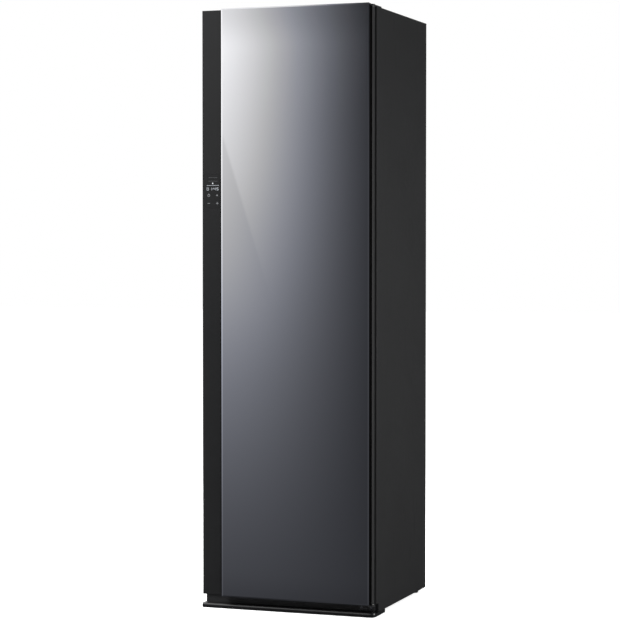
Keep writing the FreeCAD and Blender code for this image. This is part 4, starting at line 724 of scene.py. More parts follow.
def woven_cloth(name, colour):
    """Flat woven cloth with a soft sheen."""
    material, tree, shader = start_material(name)
    threads = effect(tree, "weave", Thread=1.1 * MM)
    tone = effect(tree, "mottle", Scale=7.0)
    # hollows between the threads painted darker and their crests lighter: painted shade, with an uneven
    # slub tone
    body = mix_colour(tree, threads["Shade"], darker(colour, 0.55), darker(colour, 1.25))
    faded = mix_colour(tree, arithmetic(tree, "MULTIPLY", tone["Tone"], 0.3), body, darker(colour, 1.3))
    join(tree, faded, shader.inputs["Base Color"])
    join(tree, rescale(tree, tone["Tone"], 0.78, 0.95), shader.inputs["Roughness"])
    shader.inputs["Specular IOR Level"].default_value = 0.2
    shader.inputs["Sheen Weight"].default_value = 0.25
    shader.inputs["Sheen Roughness"].default_value = 0.5
    fuzz = noise(tree, object_place(tree), 2600.0, 2.0)
    height = arithmetic(tree, "MULTIPLY_ADD", fuzz, 0.3, threads["Height"])
    join(tree, bump(tree, height, 0.25 * MM, 0.7), shader.inputs["Normal"])
    return material


def cell_foam(name, colour):
    """Open foam with its fine cells."""
    material, tree, shader = start_material(name)
    cells = pattern(tree, "Voronoi", feature="F1", Scale=650.0)
    tone = effect(tree, "mottle", Scale=6.0)
    deep = mix_colour(tree, cells.outputs["Distance"], darker(colour, 1.1), darker(colour, 0.6))
    aged = mix_colour(tree, arithmetic(tree, "MULTIPLY", tone["Tone"], 0.3), deep, (0.62, 0.55, 0.38))
    join(tree, aged, shader.inputs["Base Color"])
    join(tree, rescale(tree, tone["Tone"], 0.85, 1.0), shader.inputs["Roughness"])
    join(tree, bump(tree, cells.outputs["Distance"], 0.6 * MM, 0.6), shader.inputs["Normal"])
    return material


def board_laminate(name, colour):
    """Circuit board: solder mask over copper tracks."""
    material, tree, shader = start_material(name)
    tracks = add_node(tree, "TexBrick", Scale=1.0, offset=0.5)
    tracks.inputs["Brick Width"].default_value = 11.0 * MM
    tracks.inputs["Row Height"].default_value = 3.5 * MM
    tracks.inputs["Mortar Size"].default_value = 0.6 * MM
    place = axes_of(tree, object_place(tree))
    flat = add_node(tree, "CombineXYZ")
    join(tree, arithmetic(tree, "ADD", place["X"], place["Y"]), flat.inputs["X"])
    join(tree, place["Z"], flat.inputs["Y"])
    join(tree, flat.outputs["Vector"], tracks.inputs["Vector"])
    tone = effect(tree, "mottle", Scale=30.0)
    mask = arithmetic(tree, "SUBTRACT", 1.0, tracks.outputs["Fac"])
    body = mix_colour(tree, tone["Tone"], darker(colour, 0.8), darker(colour, 1.2))
    join(tree, mix_colour(tree, mask, darker(colour, 2.4), body), shader.inputs["Base Color"])
    join(tree, rescale(tree, tone["Smudge"], 0.3, 0.5), shader.inputs["Roughness"])
    join(tree, bump(tree, mask, 0.05 * MM, 0.6), shader.inputs["Normal"])
    return material


def lit_film(name, colour, glow):
    """A lit mark: an even film that gives its own light, slightly uneven like a real light guide."""
    material, tree, shader = start_material(name)
    uneven = noise(tree, object_place(tree), 260.0, 2.0)
    shade = mix_colour(tree, uneven, darker(colour, 0.82), colour)
    join(tree, mix_colour(tree, uneven, (0.014,) * 3, (0.020,) * 3), shader.inputs["Base Color"])
    join(tree, shade, shader.inputs["Emission Color"])
    shader.inputs["Emission Strength"].default_value = glow
    join(tree, rescale(tree, uneven, 0.4, 0.6), shader.inputs["Roughness"])
    return material


def slot_finishes(context):
    """The finish of every material slot that the cabinet's own nodes use."""
    colours = settings(context, "colours")
    case, column, trim = colours.case_paint, colours.column, colours.trim
    liner, seal, cover = colours.liner, colours.seal, colours.cover
    return {
        "case_paint": lambda n: coated(n, case, 0.52, specular=0.14, grain=0.9, depth=0.03, dust=0.03),
        "lid_plastic": lambda n: coated(n, case, 0.46, specular=0.2, grain=0.7, depth=0.03, dust=0.04),
        "rear_sheet": lambda n: coated(n, (0.035, 0.035, 0.037), 0.5, specular=0.3, grain=1.1, dust=0.1),
        "frame_steel": lambda n: coated(n, (0.30, 0.305, 0.31), 0.42, specular=0.4, grain=1.0),
        "pan_plastic": lambda n: coated(n, (0.03, 0.03, 0.032), 0.55, specular=0.35, grain=1.2, dust=0.3),
        "black_plastic": lambda n: coated(n, (0.016, 0.016, 0.017), 0.48, specular=0.35),
        "trim_black": lambda n: coated(n, trim, 0.30, specular=0.9, depth=0.02, dust=0.01),
        "foot_rubber": lambda n: coated(n, (0.02, 0.02, 0.021), 0.8, specular=0.25, grain=1.6, depth=0.1),
        "column_black": lambda n: coated(n, column, 0.42, specular=0.07, grain=0.6, depth=0.02, rub_and_highlight=1.3),
        "smoked_glass": lambda n: smoked_window(n, darker(column, 0.97)),
        "circuit_board": lambda n: board_laminate(n, (0.018, 0.085, 0.045)),
        "liner_grey": lambda n: coated(n, liner, 0.40, specular=0.45, grain=1.4, depth=0.03, rub_and_highlight=1.15),
        "bay_grey": lambda n: coated(n, darker(liner, 0.55), 0.42, specular=0.45, grain=1.2, rub_and_highlight=1.2),
        "foam": lambda n: cell_foam(n, (0.78, 0.74, 0.62)),
        "hinge_steel": lambda n: coated(n, (0.020, 0.020, 0.021), 0.36, grain=0.5, rub_and_highlight=6.0),
        "bright_steel": lambda n: drawn_metal(n, (0.62, 0.62, 0.63), 0.24, along="Z"),
        "frame_black": lambda n: door_paint(n, (0.028, 0.028, 0.0285)),
        "mirror_glass": lambda n: mirror_coating(n, settings(context, "glass").tint),
        "seal_grey": lambda n: coated(n, seal, 0.62, specular=0.3, grain=0.5, depth=0.02, rub_and_highlight=1.3),
        "acetal_white": lambda n: coated(n, (0.72, 0.72, 0.69), 0.38, specular=0.4, grain=0.5, rub_and_highlight=1.05),
        "press_fabric": lambda n: woven_cloth(n, cover),
        "press_plastic": lambda n: coated(n, (0.55, 0.56, 0.57), 0.38, specular=0.45, grain=1.0, rub_and_highlight=1.1),
        "zinc_sheet": lambda n: zinc_sheet(n, (0.58, 0.59, 0.60), 0.36),
        "motor_can": lambda n: drawn_metal(n, (0.42, 0.42, 0.43), 0.34, along="Z"),
        "carriage_plastic": lambda n: coated(n, (0.10, 0.10, 0.105), 0.45, grain=0.9),
        "rail_chrome": lambda n: drawn_metal(n, (0.66, 0.67, 0.68), 0.12, along="X", stain=0.05),
        "hanger_plastic": lambda n: coated(n, (0.045, 0.045, 0.048), 0.38, grain=1.0),
        "shelf_plastic": lambda n: coated(n, darker(liner, 0.85), 0.42, specular=0.45, grain=1.2,
                                          rub_and_highlight=1.15),
        "tank_plastic": lambda n: tank_plastic(n, (0.80, 0.83, 0.86)),
        "lid_grey": lambda n: coated(n, (0.22, 0.225, 0.235), 0.42, grain=0.9, rub_and_highlight=1.2),
        "cap_blue": lambda n: coated(n, (0.045, 0.16, 0.34), 0.38, rub_and_highlight=1.4),
        "filter_grey": lambda n: coated(n, (0.16, 0.165, 0.17), 0.45, grain=0.9, rub_and_highlight=1.3),
        "boiler_steel": lambda n: drawn_metal(n, (0.50, 0.50, 0.50), 0.30, along="X", stain=0.3),
        "nozzle_grey": lambda n: coated(n, (0.27, 0.27, 0.28), 0.42, rub_and_highlight=1.2),
        "fin_aluminium": lambda n: drawn_metal(n, (0.70, 0.71, 0.73), 0.34, along="Z", stain=0.2),
        "fan_plastic": lambda n: coated(n, (0.040, 0.040, 0.042), 0.5, grain=1.1, dust=0.25),
        "impeller_plastic": lambda n: coated(n, (0.07, 0.07, 0.075), 0.42, grain=0.9, dust=0.2),
        "compressor_black": lambda n: coated(n, (0.012, 0.012, 0.012), 0.30, specular=0.55, grain=1.8,
                                             depth=0.08, rub_and_highlight=3.0, dust=0.2),
        "copper": lambda n: drawn_metal(n, (0.72, 0.38, 0.24), 0.26, along="Z", stain=0.45),
    }


def finish_for(context, slot_name):
    """The finish of a slot, made the first time it is asked for."""
    name = "finish_" + slot_name
    return bpy.data.materials.get(name) or slot_finishes(context)[slot_name](name)


def give_finish(piece, material):
    """One material over the whole piece."""
    piece.data.materials.clear()
    piece.data.materials.append(material)


# ================================================================ modelling helpers
# a point or a face's centre this close to a plane counts as on it
NEAR = 0.1 * MM


def deselect_all():
    """Object mode with nothing selected."""
    if bpy.context.mode != "OBJECT":
        bpy.ops.object.mode_set(mode="OBJECT")
    bpy.ops.object.select_all(action="DESELECT")


def select_only(piece):
    """Object mode with one piece selected and active."""
    deselect_all()
    piece.select_set(True)
    bpy.context.view_layer.objects.active = piece


def name_new(name):
    """Names the object that was just added and puts its place in its mesh."""
    piece = bpy.context.active_object
    piece.name = name
    piece.data.name = name
    bpy.ops.object.transform_apply(location=True, rotation=True, scale=True)
    return piece


def start_block(name, low, high):
    """A block between two corners, to be shaped further."""
    deselect_all()
    low, high = Vector(low), Vector(high)
    bpy.ops.mesh.primitive_cube_add(size=1.0, location=(low + high) / 2, scale=high - low)
    return name_new(name)


def start_sheet(name, x0, x1, y, z0, z1):
    """A single upright face that looks to the front, to be shaped further."""
    deselect_all()
    middle = ((x0 + x1) / 2, y, (z0 + z1) / 2)
    bpy.ops.mesh.primitive_plane_add(size=1.0, location=middle, rotation=(math.pi / 2, 0, 0))
    bpy.context.active_object.scale = (x1 - x0, z1 - z0, 1.0)
    return name_new(name)


def start_round(name, radius, height, centre, sides):
    """An upright cylinder round a centre, to be shaped further."""
    deselect_all()
    bpy.ops.mesh.primitive_cylinder_add(vertices=sides, radius=radius, depth=height, location=centre)
    return name_new(name)


def pick_faces(piece, keep):
    """Edit mode with only the faces selected whose centre and normal pass keep."""
    bpy.ops.object.mode_set(mode="EDIT")
    bpy.ops.mesh.select_mode(type="FACE")
    bpy.ops.mesh.select_all(action="DESELECT")
    bpy.ops.object.mode_set(mode="OBJECT")
    for face in piece.data.polygons:
        face.select = bool(keep(face.center, face.normal))
    bpy.ops.object.mode_set(mode="EDIT")


def pick_edges(piece, keep):
    """Edit mode with only the edges selected whose two ends pass keep."""
    bpy.ops.object.mode_set(mode="EDIT")
    bpy.ops.mesh.select_mode(type="EDGE")
    bpy.ops.mesh.select_all(action="DESELECT")
    bpy.ops.object.mode_set(mode="OBJECT")
    corners = piece.data.vertices
    for edge in piece.data.edges:
        first, second = (corners[index].co for index in edge.vertices)
        edge.select = bool(keep(first, second))
    bpy.ops.object.mode_set(mode="EDIT")


def close_up(piece, angle=30.0):
    """Outward faces, smooth shading below an angle, and back to object mode."""
    bpy.ops.object.mode_set(mode="EDIT")
    bpy.ops.mesh.select_all(action="SELECT")
    bpy.ops.mesh.remove_doubles(threshold=0.002 * MM)
    bpy.ops.mesh.normals_make_consistent(inside=False)
    select_only(piece)
    bpy.ops.object.shade_smooth_by_angle(angle=math.radians(angle))
    return piece


def join_pieces(name, pieces):
    """Several finished meshes made one object."""
    deselect_all()
    for piece in pieces:
        piece.select_set(True)
    bpy.context.view_layer.objects.active = pieces[0]
    bpy.ops.object.join()
    whole = bpy.context.active_object
    whole.name = name
    whole.data.name = name
    return whole


def apply_modifier(piece, kind, **values):
    """Adds a modifier with its values and applies it."""
    select_only(piece)
    modifier = piece.modifiers.new(kind.lower(), kind)
    for name, value in values.items():
        setattr(modifier, name, value)
    bpy.ops.object.modifier_apply(modifier=modifier.name)


def soften(piece, width, segments=2):
    """Rounds every sharp edge of a piece."""
    apply_modifier(piece, "BEVEL", width=width, segments=segments, limit_method="ANGLE",
                   angle_limit=math.radians(30.0))
    return close_up(piece, 40.0)


def moved_copy(piece, move):
    """A copy with its own mesh, moved in the mesh by a matrix."""
    double = piece.copy()
    double.data = piece.data.copy()
    double.data.transform(move)
    bpy.context.collection.objects.link(double)
    return double


def settle(piece, body, slot_name, material=None):
    """Gives a finished piece its body and the finish of a named slot, or another finish."""
    give_finish(piece, material or finish_for(bpy.context, slot_name))
    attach(piece, body)


# ================================================================ carried-over pieces
class CABINET_OT_finishes(bpy.types.Operator):
    """Give every carried-over piece of the cabinet its finish"""
    bl_idname = "cabinet.finishes"
    bl_label = "Finishes"

    def execute(self, context):
        for part in frame["record"]["subparts"]:
            node = frame["nodes"][part["node"]]
            give_finish(node, finish_for(context, part["material_slot"]))
        return {"FINISHED"}


# ================================================================ door glass
class CABINET_OT_door_mirror(bpy.types.Operator):
    """Model the mirror-glass sheet with its polished edge"""
    bl_idname = "cabinet.door_mirror"
    bl_label = "Door mirror"

    def execute(self, context):
        chosen = settings(context, "glass")
        low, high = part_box("door_glass")
        sheet = start_block("door_mirror", low, high)
        pick_faces(sheet, lambda centre, normal: normal.y < -0.9)
        bpy.ops.mesh.inset(thickness=chosen.edge_width, depth=0.0)
        front = low.y + NEAR
        half_way = chosen.edge_width / 2

        def at_rim(p):
            return p.y < front and min(p.x - low.x, high.x - p.x, p.z - low.z, high.z - p.z) <= half_way

        pick_edges(sheet, lambda a, b: at_rim(a) and at_rim(b))
        bpy.ops.transform.translate(value=(0.0, chosen.edge_fall, 0.0))
        pick_edges(sheet, lambda a, b: abs(a.x - b.x) < MM and abs(a.z - b.z) < MM)
        bpy.ops.mesh.bevel(offset=chosen.corner, segments=5, affect="EDGES")
        close_up(sheet, 12.0)
        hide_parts("door_glass")
        settle(sheet, "door", "mirror_glass")
        sheet.data.materials.append(ground_edge("finish_ground_edge"))
        for face in sheet.data.polygons:
            face.material_index = 0 if face.normal.y < -0.5 else 1
        return {"FINISHED"}


# ================================================================ door seal
class CABINET_OT_door_seal(bpy.types.Operator):
    """Model the moulded seal with its foot, bellows and magnet pocket"""
    bl_idname = "cabinet.door_seal"
    bl_label = "Door seal"

    def execute(self, context):
        chosen = settings(context, "seal")
        low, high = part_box("door_gasket")
        inset = chosen.waist_inset
        ring = start_sheet("door_seal_ring", low.x + inset, high.x - inset, low.y, low.z + inset,
                           high.z - inset)
        pick_faces(ring, lambda centre, normal: True)
        bpy.ops.mesh.inset(thickness=chosen.breadth - 2 * inset, depth=0.0)
        middle = (low + high) / 2
        pick_faces(ring, lambda centre, normal: abs(centre.x - middle.x) < MM
                   and abs(centre.z - middle.z) < MM)
        bpy.ops.mesh.delete(type="FACE")
        depth = high.y - low.y
        for layer in (chosen.foot, depth - chosen.foot - chosen.head, chosen.head):
            reach = max(v.co.y for v in ring.data.vertices)
            pick_faces(ring, lambda centre, normal: centre.y > reach - NEAR and abs(normal.y) > 0.9)
            bpy.ops.mesh.extrude_region_move(TRANSFORM_OT_translate={"value": (0.0, layer, 0.0)})
            bpy.ops.object.mode_set(mode="OBJECT")
        close_up(ring)
        foot_top = low.y + chosen.foot
        head_start = high.y - chosen.head
        pick_faces(ring, lambda centre, normal: abs(normal.y) < 0.1
                   and (centre.y < foot_top or centre.y > head_start))
        bpy.ops.mesh.extrude_region_shrink_fatten(
            TRANSFORM_OT_shrink_fatten={"value": inset, "use_even_offset": True})
        close_up(ring)
        soften(ring, chosen.softness, 3)
        ring.name = "door_seal"
        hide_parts("door_gasket")
        settle(ring, "door", "seal_grey")
        return {"FINISHED"}


# ================================================================ display
# the lit segments of each figure, named as on any seven-segment display
SEGMENTS = {
    "0": "abcdef", "1": "bc", "2": "abged", "3": "abgcd", "4": "fgbc", "5": "afgcd", "6": "afgedc",
    "7": "abc", "8": "abcdefg", "9": "abcdfg",
}
# the rows' heights over the window's lower edge
DIGITS_RISE = 58.4 * MM
LAMP_RISE = 81.3 * MM
STATUS_RISES = (88.0 * MM, 99.4 * MM)
# a digit's breadth and the heights of the colon's two dots, as shares of a digit's height
DIGIT_BREADTH = 0.85
COLON_DOTS = (0.28, 0.72)
# the space after a digit and the room of the colon
DIGIT_SPACE = 2.9 * MM
COLON_SPACE = 3.0 * MM
# the bars over the digits: the gap under them, their height and the share of their pitch that is lit
BAR_GAP = 5.8 * MM
BAR_HEIGHT = 2.4 * MM
BAR_SHARE = 0.8
# the lamp's radius and how far left of the middle it is, and the marks of a status row
LAMP_RADIUS = 2.2 * MM
LAMP_OFFSET = 1.0 * MM
STATUS_MARKS = 7
STATUS_PITCH = 4.6 * MM
STATUS_WIDTH, STATUS_HEIGHT = 3.0 * MM, 1.2 * MM
# the status marks' glow as a share of the touch marks'
STATUS_GLOW = 0.4


def printed_bar(x0, x1, z0, z1, y, film):
    """A flat printed bar with pointed ends along its longer side."""
    bar = start_sheet("printed_bar", x0, x1, y, z0, z1)
    width = min(x1 - x0, z1 - z0)
    bpy.ops.object.mode_set(mode="EDIT")
    bpy.ops.mesh.select_all(action="SELECT")
    bpy.ops.mesh.bevel(offset=width * 0.45, segments=1, affect="VERTICES")
    bpy.ops.mesh.extrude_region_move(TRANSFORM_OT_translate={"value": (0.0, -film, 0.0)})
    return close_up(bar)


def digit_bars(figure, x, z, width, height, stroke, y, film):
    """The lit bars of one seven-segment figure; x and z are its lower left corner."""
    gap = stroke * 0.2
    right, middle, top = x + width, z + height / 2, z + height
    places = {
        "a": (x + gap, right - gap, top - stroke, top),
        "g": (x + gap, right - gap, middle - stroke / 2, middle + stroke / 2),
        "d": (x + gap, right - gap, z, z + stroke),
        "f": (x, x + stroke, middle + gap, top - gap),
        "b": (right - stroke, right, middle + gap, top - gap),
        "e": (x, x + stroke, z + gap, middle - gap),
        "c": (right - stroke, right, z + gap, middle - gap),
    }
    return [printed_bar(*places[segment], y, film) for segment in SEGMENTS[figure]]


def printed_disc(x, z, radius, y, film, hole=0.0, sides=28):
    """A flat printed disc, or a ring where a hole is given."""
    deselect_all()
    bpy.ops.mesh.primitive_circle_add(vertices=sides, radius=radius, fill_type="NGON",
                                      location=(x, y, z), rotation=(math.pi / 2, 0, 0))
    disc = name_new("printed_disc")
    if hole:
        pick_faces(disc, lambda centre, normal: True)
        bpy.ops.mesh.inset(thickness=radius - hole, depth=0.0)
        pick_faces(disc, lambda centre, normal: abs(centre.x - x) < radius / 10
                   and abs(centre.z - z) < radius / 10)
        bpy.ops.mesh.delete(type="FACE")
    bpy.ops.object.mode_set(mode="EDIT")
    bpy.ops.mesh.select_all(action="SELECT")
    bpy.ops.mesh.extrude_region_move(TRANSFORM_OT_translate={"value": (0.0, -film, 0.0)})
    return close_up(disc)


def light_up(piece, name, colour, glow):
    """Puts lit marks on the cabinet, with a lit film of their own."""
    settle(piece, "cabinet", "circuit_board", lit_film(name, colour, glow))


class CABINET_OT_display_marks(bpy.types.Operator):
    """Model the lit digits, the status marks and the four touch marks on the window"""
    bl_idname = "cabinet.display_marks"
    bl_label = "Display marks"

    def execute(self, context):
        chosen = settings(context, "display")
        low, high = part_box("display_window")
        y = low.y
        middle_x = (low.x + high.x) / 2 + chosen.shift
        self.lit_block(chosen, middle_x, low.z, y)
        self.status_row(chosen, middle_x, low.z, y)
        self.touch_row(chosen, middle_x, low.z, y)
        return {"FINISHED"}

    def lit_block(self, chosen, middle_x, bottom, y):
        """The digits, with the row of progress bars over them."""
        height, stroke, film = chosen.digit_height, chosen.stroke, chosen.film
        width = height * DIGIT_BREADTH
        step = width + DIGIT_SPACE
        base_z = bottom + DIGITS_RISE
        figures = [figure for figure in chosen.reading if figure in SEGMENTS]
        x = middle_x - (len(figures) * step + COLON_SPACE) / 2
        bars = []
        for figure in chosen.reading:
            if figure in SEGMENTS:
                bars += digit_bars(figure, x, base_z, width, height, stroke, y, film)
                x += step
            else:
                for share in COLON_DOTS:
                    bars.append(printed_disc(x, base_z + height * share, stroke * 0.55, y, film))
                x += COLON_SPACE
        bar_z = base_z + height + BAR_GAP
        pitch = chosen.progress / chosen.progress_bars
        for number in range(chosen.progress_bars):
            start = middle_x - chosen.progress / 2 + number * pitch
            bars.append(printed_bar(start, start + pitch * BAR_SHARE, bar_z, bar_z + BAR_HEIGHT, y, film))
        light_up(join_pieces("display_digits", bars), "finish_lit_digits", (0.86, 0.92, 1.0),
                 chosen.digit_glow)

    def status_row(self, chosen, middle_x, bottom, y):
        """The bright running lamp and the two faint rows of programme marks over it."""
        lamp = printed_disc(middle_x - LAMP_OFFSET, bottom + LAMP_RISE, LAMP_RADIUS, y, chosen.film)
        light_up(lamp, "finish_running_lamp", (0.92, 0.96, 1.0), 1.0)
        lamp.name = "running_lamp"
        marks = []
        for rise in STATUS_RISES:
            z = bottom + rise
            for number in range(STATUS_MARKS):
                x = middle_x + (number - (STATUS_MARKS - 1) / 2) * STATUS_PITCH
                marks.append(printed_bar(x - STATUS_WIDTH / 2, x + STATUS_WIDTH / 2, z,
                                         z + STATUS_HEIGHT, y, chosen.film))
        light_up(join_pieces("status_marks", marks), "finish_status_marks", (0.80, 0.86, 0.95),
                 chosen.mark_glow * STATUS_GLOW)

    def touch_row(self, chosen, middle_x, bottom, y):
        """A power mark, a start mark, a minus and a plus on the four touch fields."""
        line, half, film = chosen.mark_stroke / 2, chosen.mark_half, chosen.film
        left, right = (middle_x + sign * chosen.mark_pitch[0] / 2 for sign in (-1, 1))
        lower = bottom + chosen.mark_rise
        upper = lower + chosen.mark_pitch[1]
        marks = [
            printed_disc(left, upper, half, y, film, hole=half - 2 * line),
            printed_bar(left - line, left + line, upper + half * 0.2, upper + half * 1.4, y, film * 1.5),
            printed_disc(right - half * 0.1, upper, half * 0.9, y, film, sides=3),
            printed_bar(left - half, left + half, lower - line, lower + line, y, film),
            printed_bar(right - half, right + half, lower - line, lower + line, y, film),
            printed_bar(right - line, right + line, lower - half, lower + half, y, film * 1.5),
        ]
        light_up(join_pieces("touch_marks", marks), "finish_touch_marks", (0.75, 0.78, 0.82),
                 chosen.mark_glow)


# ================================================================ screws
HEAD_HEIGHT = 1.2 * MM
SHANK_RADIUS = 2.0 * MM
# how far each screw's cross is turned past the one before
CROSS_TURN = math.radians(37.0)


def loose_parts(node_name):
    """The low and high corner of each separate solid in one of the cabinet's nodes."""
    double = frame["nodes"][node_name].copy()
    double.data = double.data.copy()
    double.parent = None
    bpy.context.collection.objects.link(double)
    select_only(double)
    bpy.ops.object.mode_set(mode="EDIT")
    bpy.ops.mesh.select_all(action="SELECT")
    bpy.ops.mesh.remove_doubles(threshold=0.01 * MM)
    bpy.ops.mesh.separate(type="LOOSE")
    bpy.ops.object.mode_set(mode="OBJECT")
    parts = list(bpy.context.selected_objects)
    corners = []
    for part in parts:
        places = [v.co for v in part.data.vertices]
        low = Vector(min(p[axis] for p in places) for axis in range(3))
        high = Vector(max(p[axis] for p in places) for axis in range(3))
        corners.append((low, high))
        bpy.data.objects.remove(part)
    return sorted(corners, key=lambda pair: tuple(pair[0]))


def pan_head_screw(head_radius, head_height, shank_radius, shank_length, chosen):
    """A cross-recess screw at the origin, its head up along Z and its shank below."""
    head = start_round("pan_head", head_radius, head_height, (0, 0, head_height / 2), sides=28)
    pick_edges(head, lambda a, b: min(a.z, b.z) > head_height - NEAR)
    bpy.ops.mesh.bevel(offset=chosen.head_round, segments=3, affect="EDGES")
    close_up(head)
    reach, arm = chosen.recess_reach / 2, chosen.recess_width / 2
    floor = head_height - chosen.recess_depth
    along = start_block("recess_along", (-reach, -arm, floor), (reach, arm, head_height + MM))
    across = start_block("recess_across", (-arm, -reach, floor), (arm, reach, head_height + MM))
    for cutter in (along, across):
        apply_modifier(head, "BOOLEAN", operation="DIFFERENCE", object=cutter, solver="EXACT")
        bpy.data.objects.remove(cutter)
    shank = start_round("shank", shank_radius, shank_length, (0, 0, -shank_length / 2), sides=16)
    pick_edges(shank, lambda a, b: max(a.z, b.z) < NEAR - shank_length)
    bpy.ops.mesh.bevel(offset=shank_radius * 0.4, segments=2, affect="EDGES")
    close_up(shank)
    screw = join_pieces("pan_head_screw", [head, shank])
    return close_up(screw)


class CABINET_OT_screws(bpy.types.Operator):
    """Model the cross-recess screws of the rear panel and the hinge brackets"""
    bl_idname = "cabinet.screws"
    bl_label = "Screws"

    def execute(self, context):
        chosen = settings(context, "screws")
        parts = loose_parts("case_screws")
        low, high = parts[0]
        head_radius = (high.x - low.x) / 2
        whole = max(high[axis] - low[axis] for axis in range(3))
        model = pan_head_screw(head_radius, HEAD_HEIGHT, SHANK_RADIUS, whole - HEAD_HEIGHT, chosen)
        screws = []
        for number, (low, high) in enumerate(parts):
            centre = (low + high) / 2
            along = max(range(3), key=lambda axis: high[axis] - low[axis])
            if along == 2:
                place = Vector((centre.x, centre.y, high.z - HEAD_HEIGHT))
                turn = Matrix.Identity(4)
            elif centre.y > 0:
                place = Vector((centre.x, high.y - HEAD_HEIGHT, centre.z))
                turn = Matrix.Rotation(-math.pi / 2, 4, "X")
            else:
                place = Vector((centre.x, low.y + HEAD_HEIGHT, centre.z))
                turn = Matrix.Rotation(math.pi / 2, 4, "X")
            spin = Matrix.Rotation(CROSS_TURN * number, 4, "Z")
            screws.append(moved_copy(model, Matrix.Translation(place) @ turn @ spin))
        bpy.data.objects.remove(model)
        group = join_pieces("cross_head_screws", screws)
        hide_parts("case_screws")
        settle(group, "cabinet", "bright_steel")
        return {"FINISHED"}


# ================================================================ rear louvres
# between a blade's outer edge and the rear sheet
BLADE_GAP = 0.05 * MM


class CABINET_OT_louvres(bpy.types.Operator):
    """Model the slanted blades behind the rear panel's slots"""
    bl_idname = "cabinet.louvres"
    bl_label = "Rear louvres"

    def execute(self, context):
        chosen = settings(context, "louvres")
        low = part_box("rear_panel")[0]
        top = chosen.first + chosen.slot_height
        blade = start_block("rear_blade", (-chosen.width / 2, low.y - chosen.reach, top),
                            (chosen.width / 2, low.y - BLADE_GAP, top + chosen.sheet))
        pick_faces(blade, lambda centre, normal: normal.y < -0.9)
        bpy.ops.transform.translate(value=(0.0, 0.0, -chosen.fall))
        close_up(blade)
        pick_edges(blade, lambda a, b: True)
        bpy.ops.mesh.bevel(offset=chosen.sheet * 0.3, segments=2, affect="EDGES")
        close_up(blade)
        blades = [blade]
        for row in range(1, chosen.count):
            blades.append(moved_copy(blade, Matrix.Translation((0.0, 0.0, row * chosen.pitch))))
        group = join_pieces("rear_louvre_blades", blades)
        settle(group, "cabinet", "rear_sheet")
        return {"FINISHED"}


# ================================================================ water tanks
# from a tank's left side to its lines, how deep they sit in its wall, and a short line's share of length
LINE_INSET = 18 * MM
LINE_ROOT = 0.2 * MM
SHORT_LINE = 0.6


class CABINET_OT_tank_marks(bpy.types.Operator):
    """Model the moulded level lines on the front of each water tank"""
    bl_idname = "cabinet.tank_marks"
    bl_label = "Tank marks"

    def execute(self, context):
        chosen = settings(context, "tanks")
        for node, body in (("supply_tank", "supply_water_tank"), ("drain_tank", "drain_water_tank")):
            low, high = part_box(node)
            x = low.x + LINE_INSET
            bottom, top = low.z + chosen.bottom_gap, high.z - chosen.top_gap
            lines = []
            for number in range(chosen.marks):
                z = bottom + (top - bottom) * number / max(chosen.marks - 1, 1)
                length = chosen.length * (1.0 if number % 2 == 0 else SHORT_LINE)
                line = start_block("level_line", (x, low.y - chosen.rise, z - chosen.thickness / 2),
                                   (x + length, low.y + LINE_ROOT, z + chosen.thickness / 2))
                lines.append(soften(line, chosen.rise * 0.5))
            marks = join_pieces(node + "_level_lines", lines)
            settle(marks, body, "lid_grey")
        return {"FINISHED"}


# ================================================================ trouser press
FILLING_FRAMES = 20
# shares of the empty bag's thickness: what it has at its rim, gains inwards and loses at a sewn line
RIM_SHARE, CROWN_SHARE, DIP_SHARE = 0.45, 0.55, 0.5
# how far that gain, that loss and the pull of the sides reach
CROWN_REACH, DIP_REACH, PULL_REACH = 6 * MM, 3 * MM, 12 * MM
# how deep a hinge pin sits in its lug
PIN_ROOT = 1.0 * MM


def press_places(chosen):
    """The pad's two corners, the hinge's place, its barrel's radius and the height of a lug."""
    low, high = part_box("press_pad")
    leaf_low, leaf_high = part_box("press_plate")
    barrel = (leaf_high.y - leaf_low.y) / 2
    hinge = Vector((high.x - barrel, (leaf_low.y + leaf_high.y) / 2, 0.0))
    pad_high = Vector((hinge.x - chosen.hinge_reach, low.y + chosen.board, high.z))
    return low, pad_high, hinge, barrel, leaf_low.z - low.z - chosen.end_gap


def cover_blank(chosen, low, high):
    """The empty cover: a flat closed bag on a fine grid, with its back on the door."""
    width, height = high.x - low.x, high.z - low.z
    deselect_all()
    bpy.ops.mesh.primitive_grid_add(
        x_subdivisions=chosen.columns, y_subdivisions=chosen.channels * chosen.rows_per_channel, size=1.0,
        location=((low.x + high.x) / 2, low.y, (low.z + high.z) / 2), rotation=(-math.pi / 2, 0, 0))
    bpy.context.active_object.scale = (width, height, 1.0)
    cover = name_new("press_cover")
    pick_faces(cover, lambda centre, normal: True)
    bpy.ops.mesh.extrude_region_move(TRANSFORM_OT_translate={"value": (0.0, chosen.bag, 0.0)})
    return close_up(cover, 60.0)


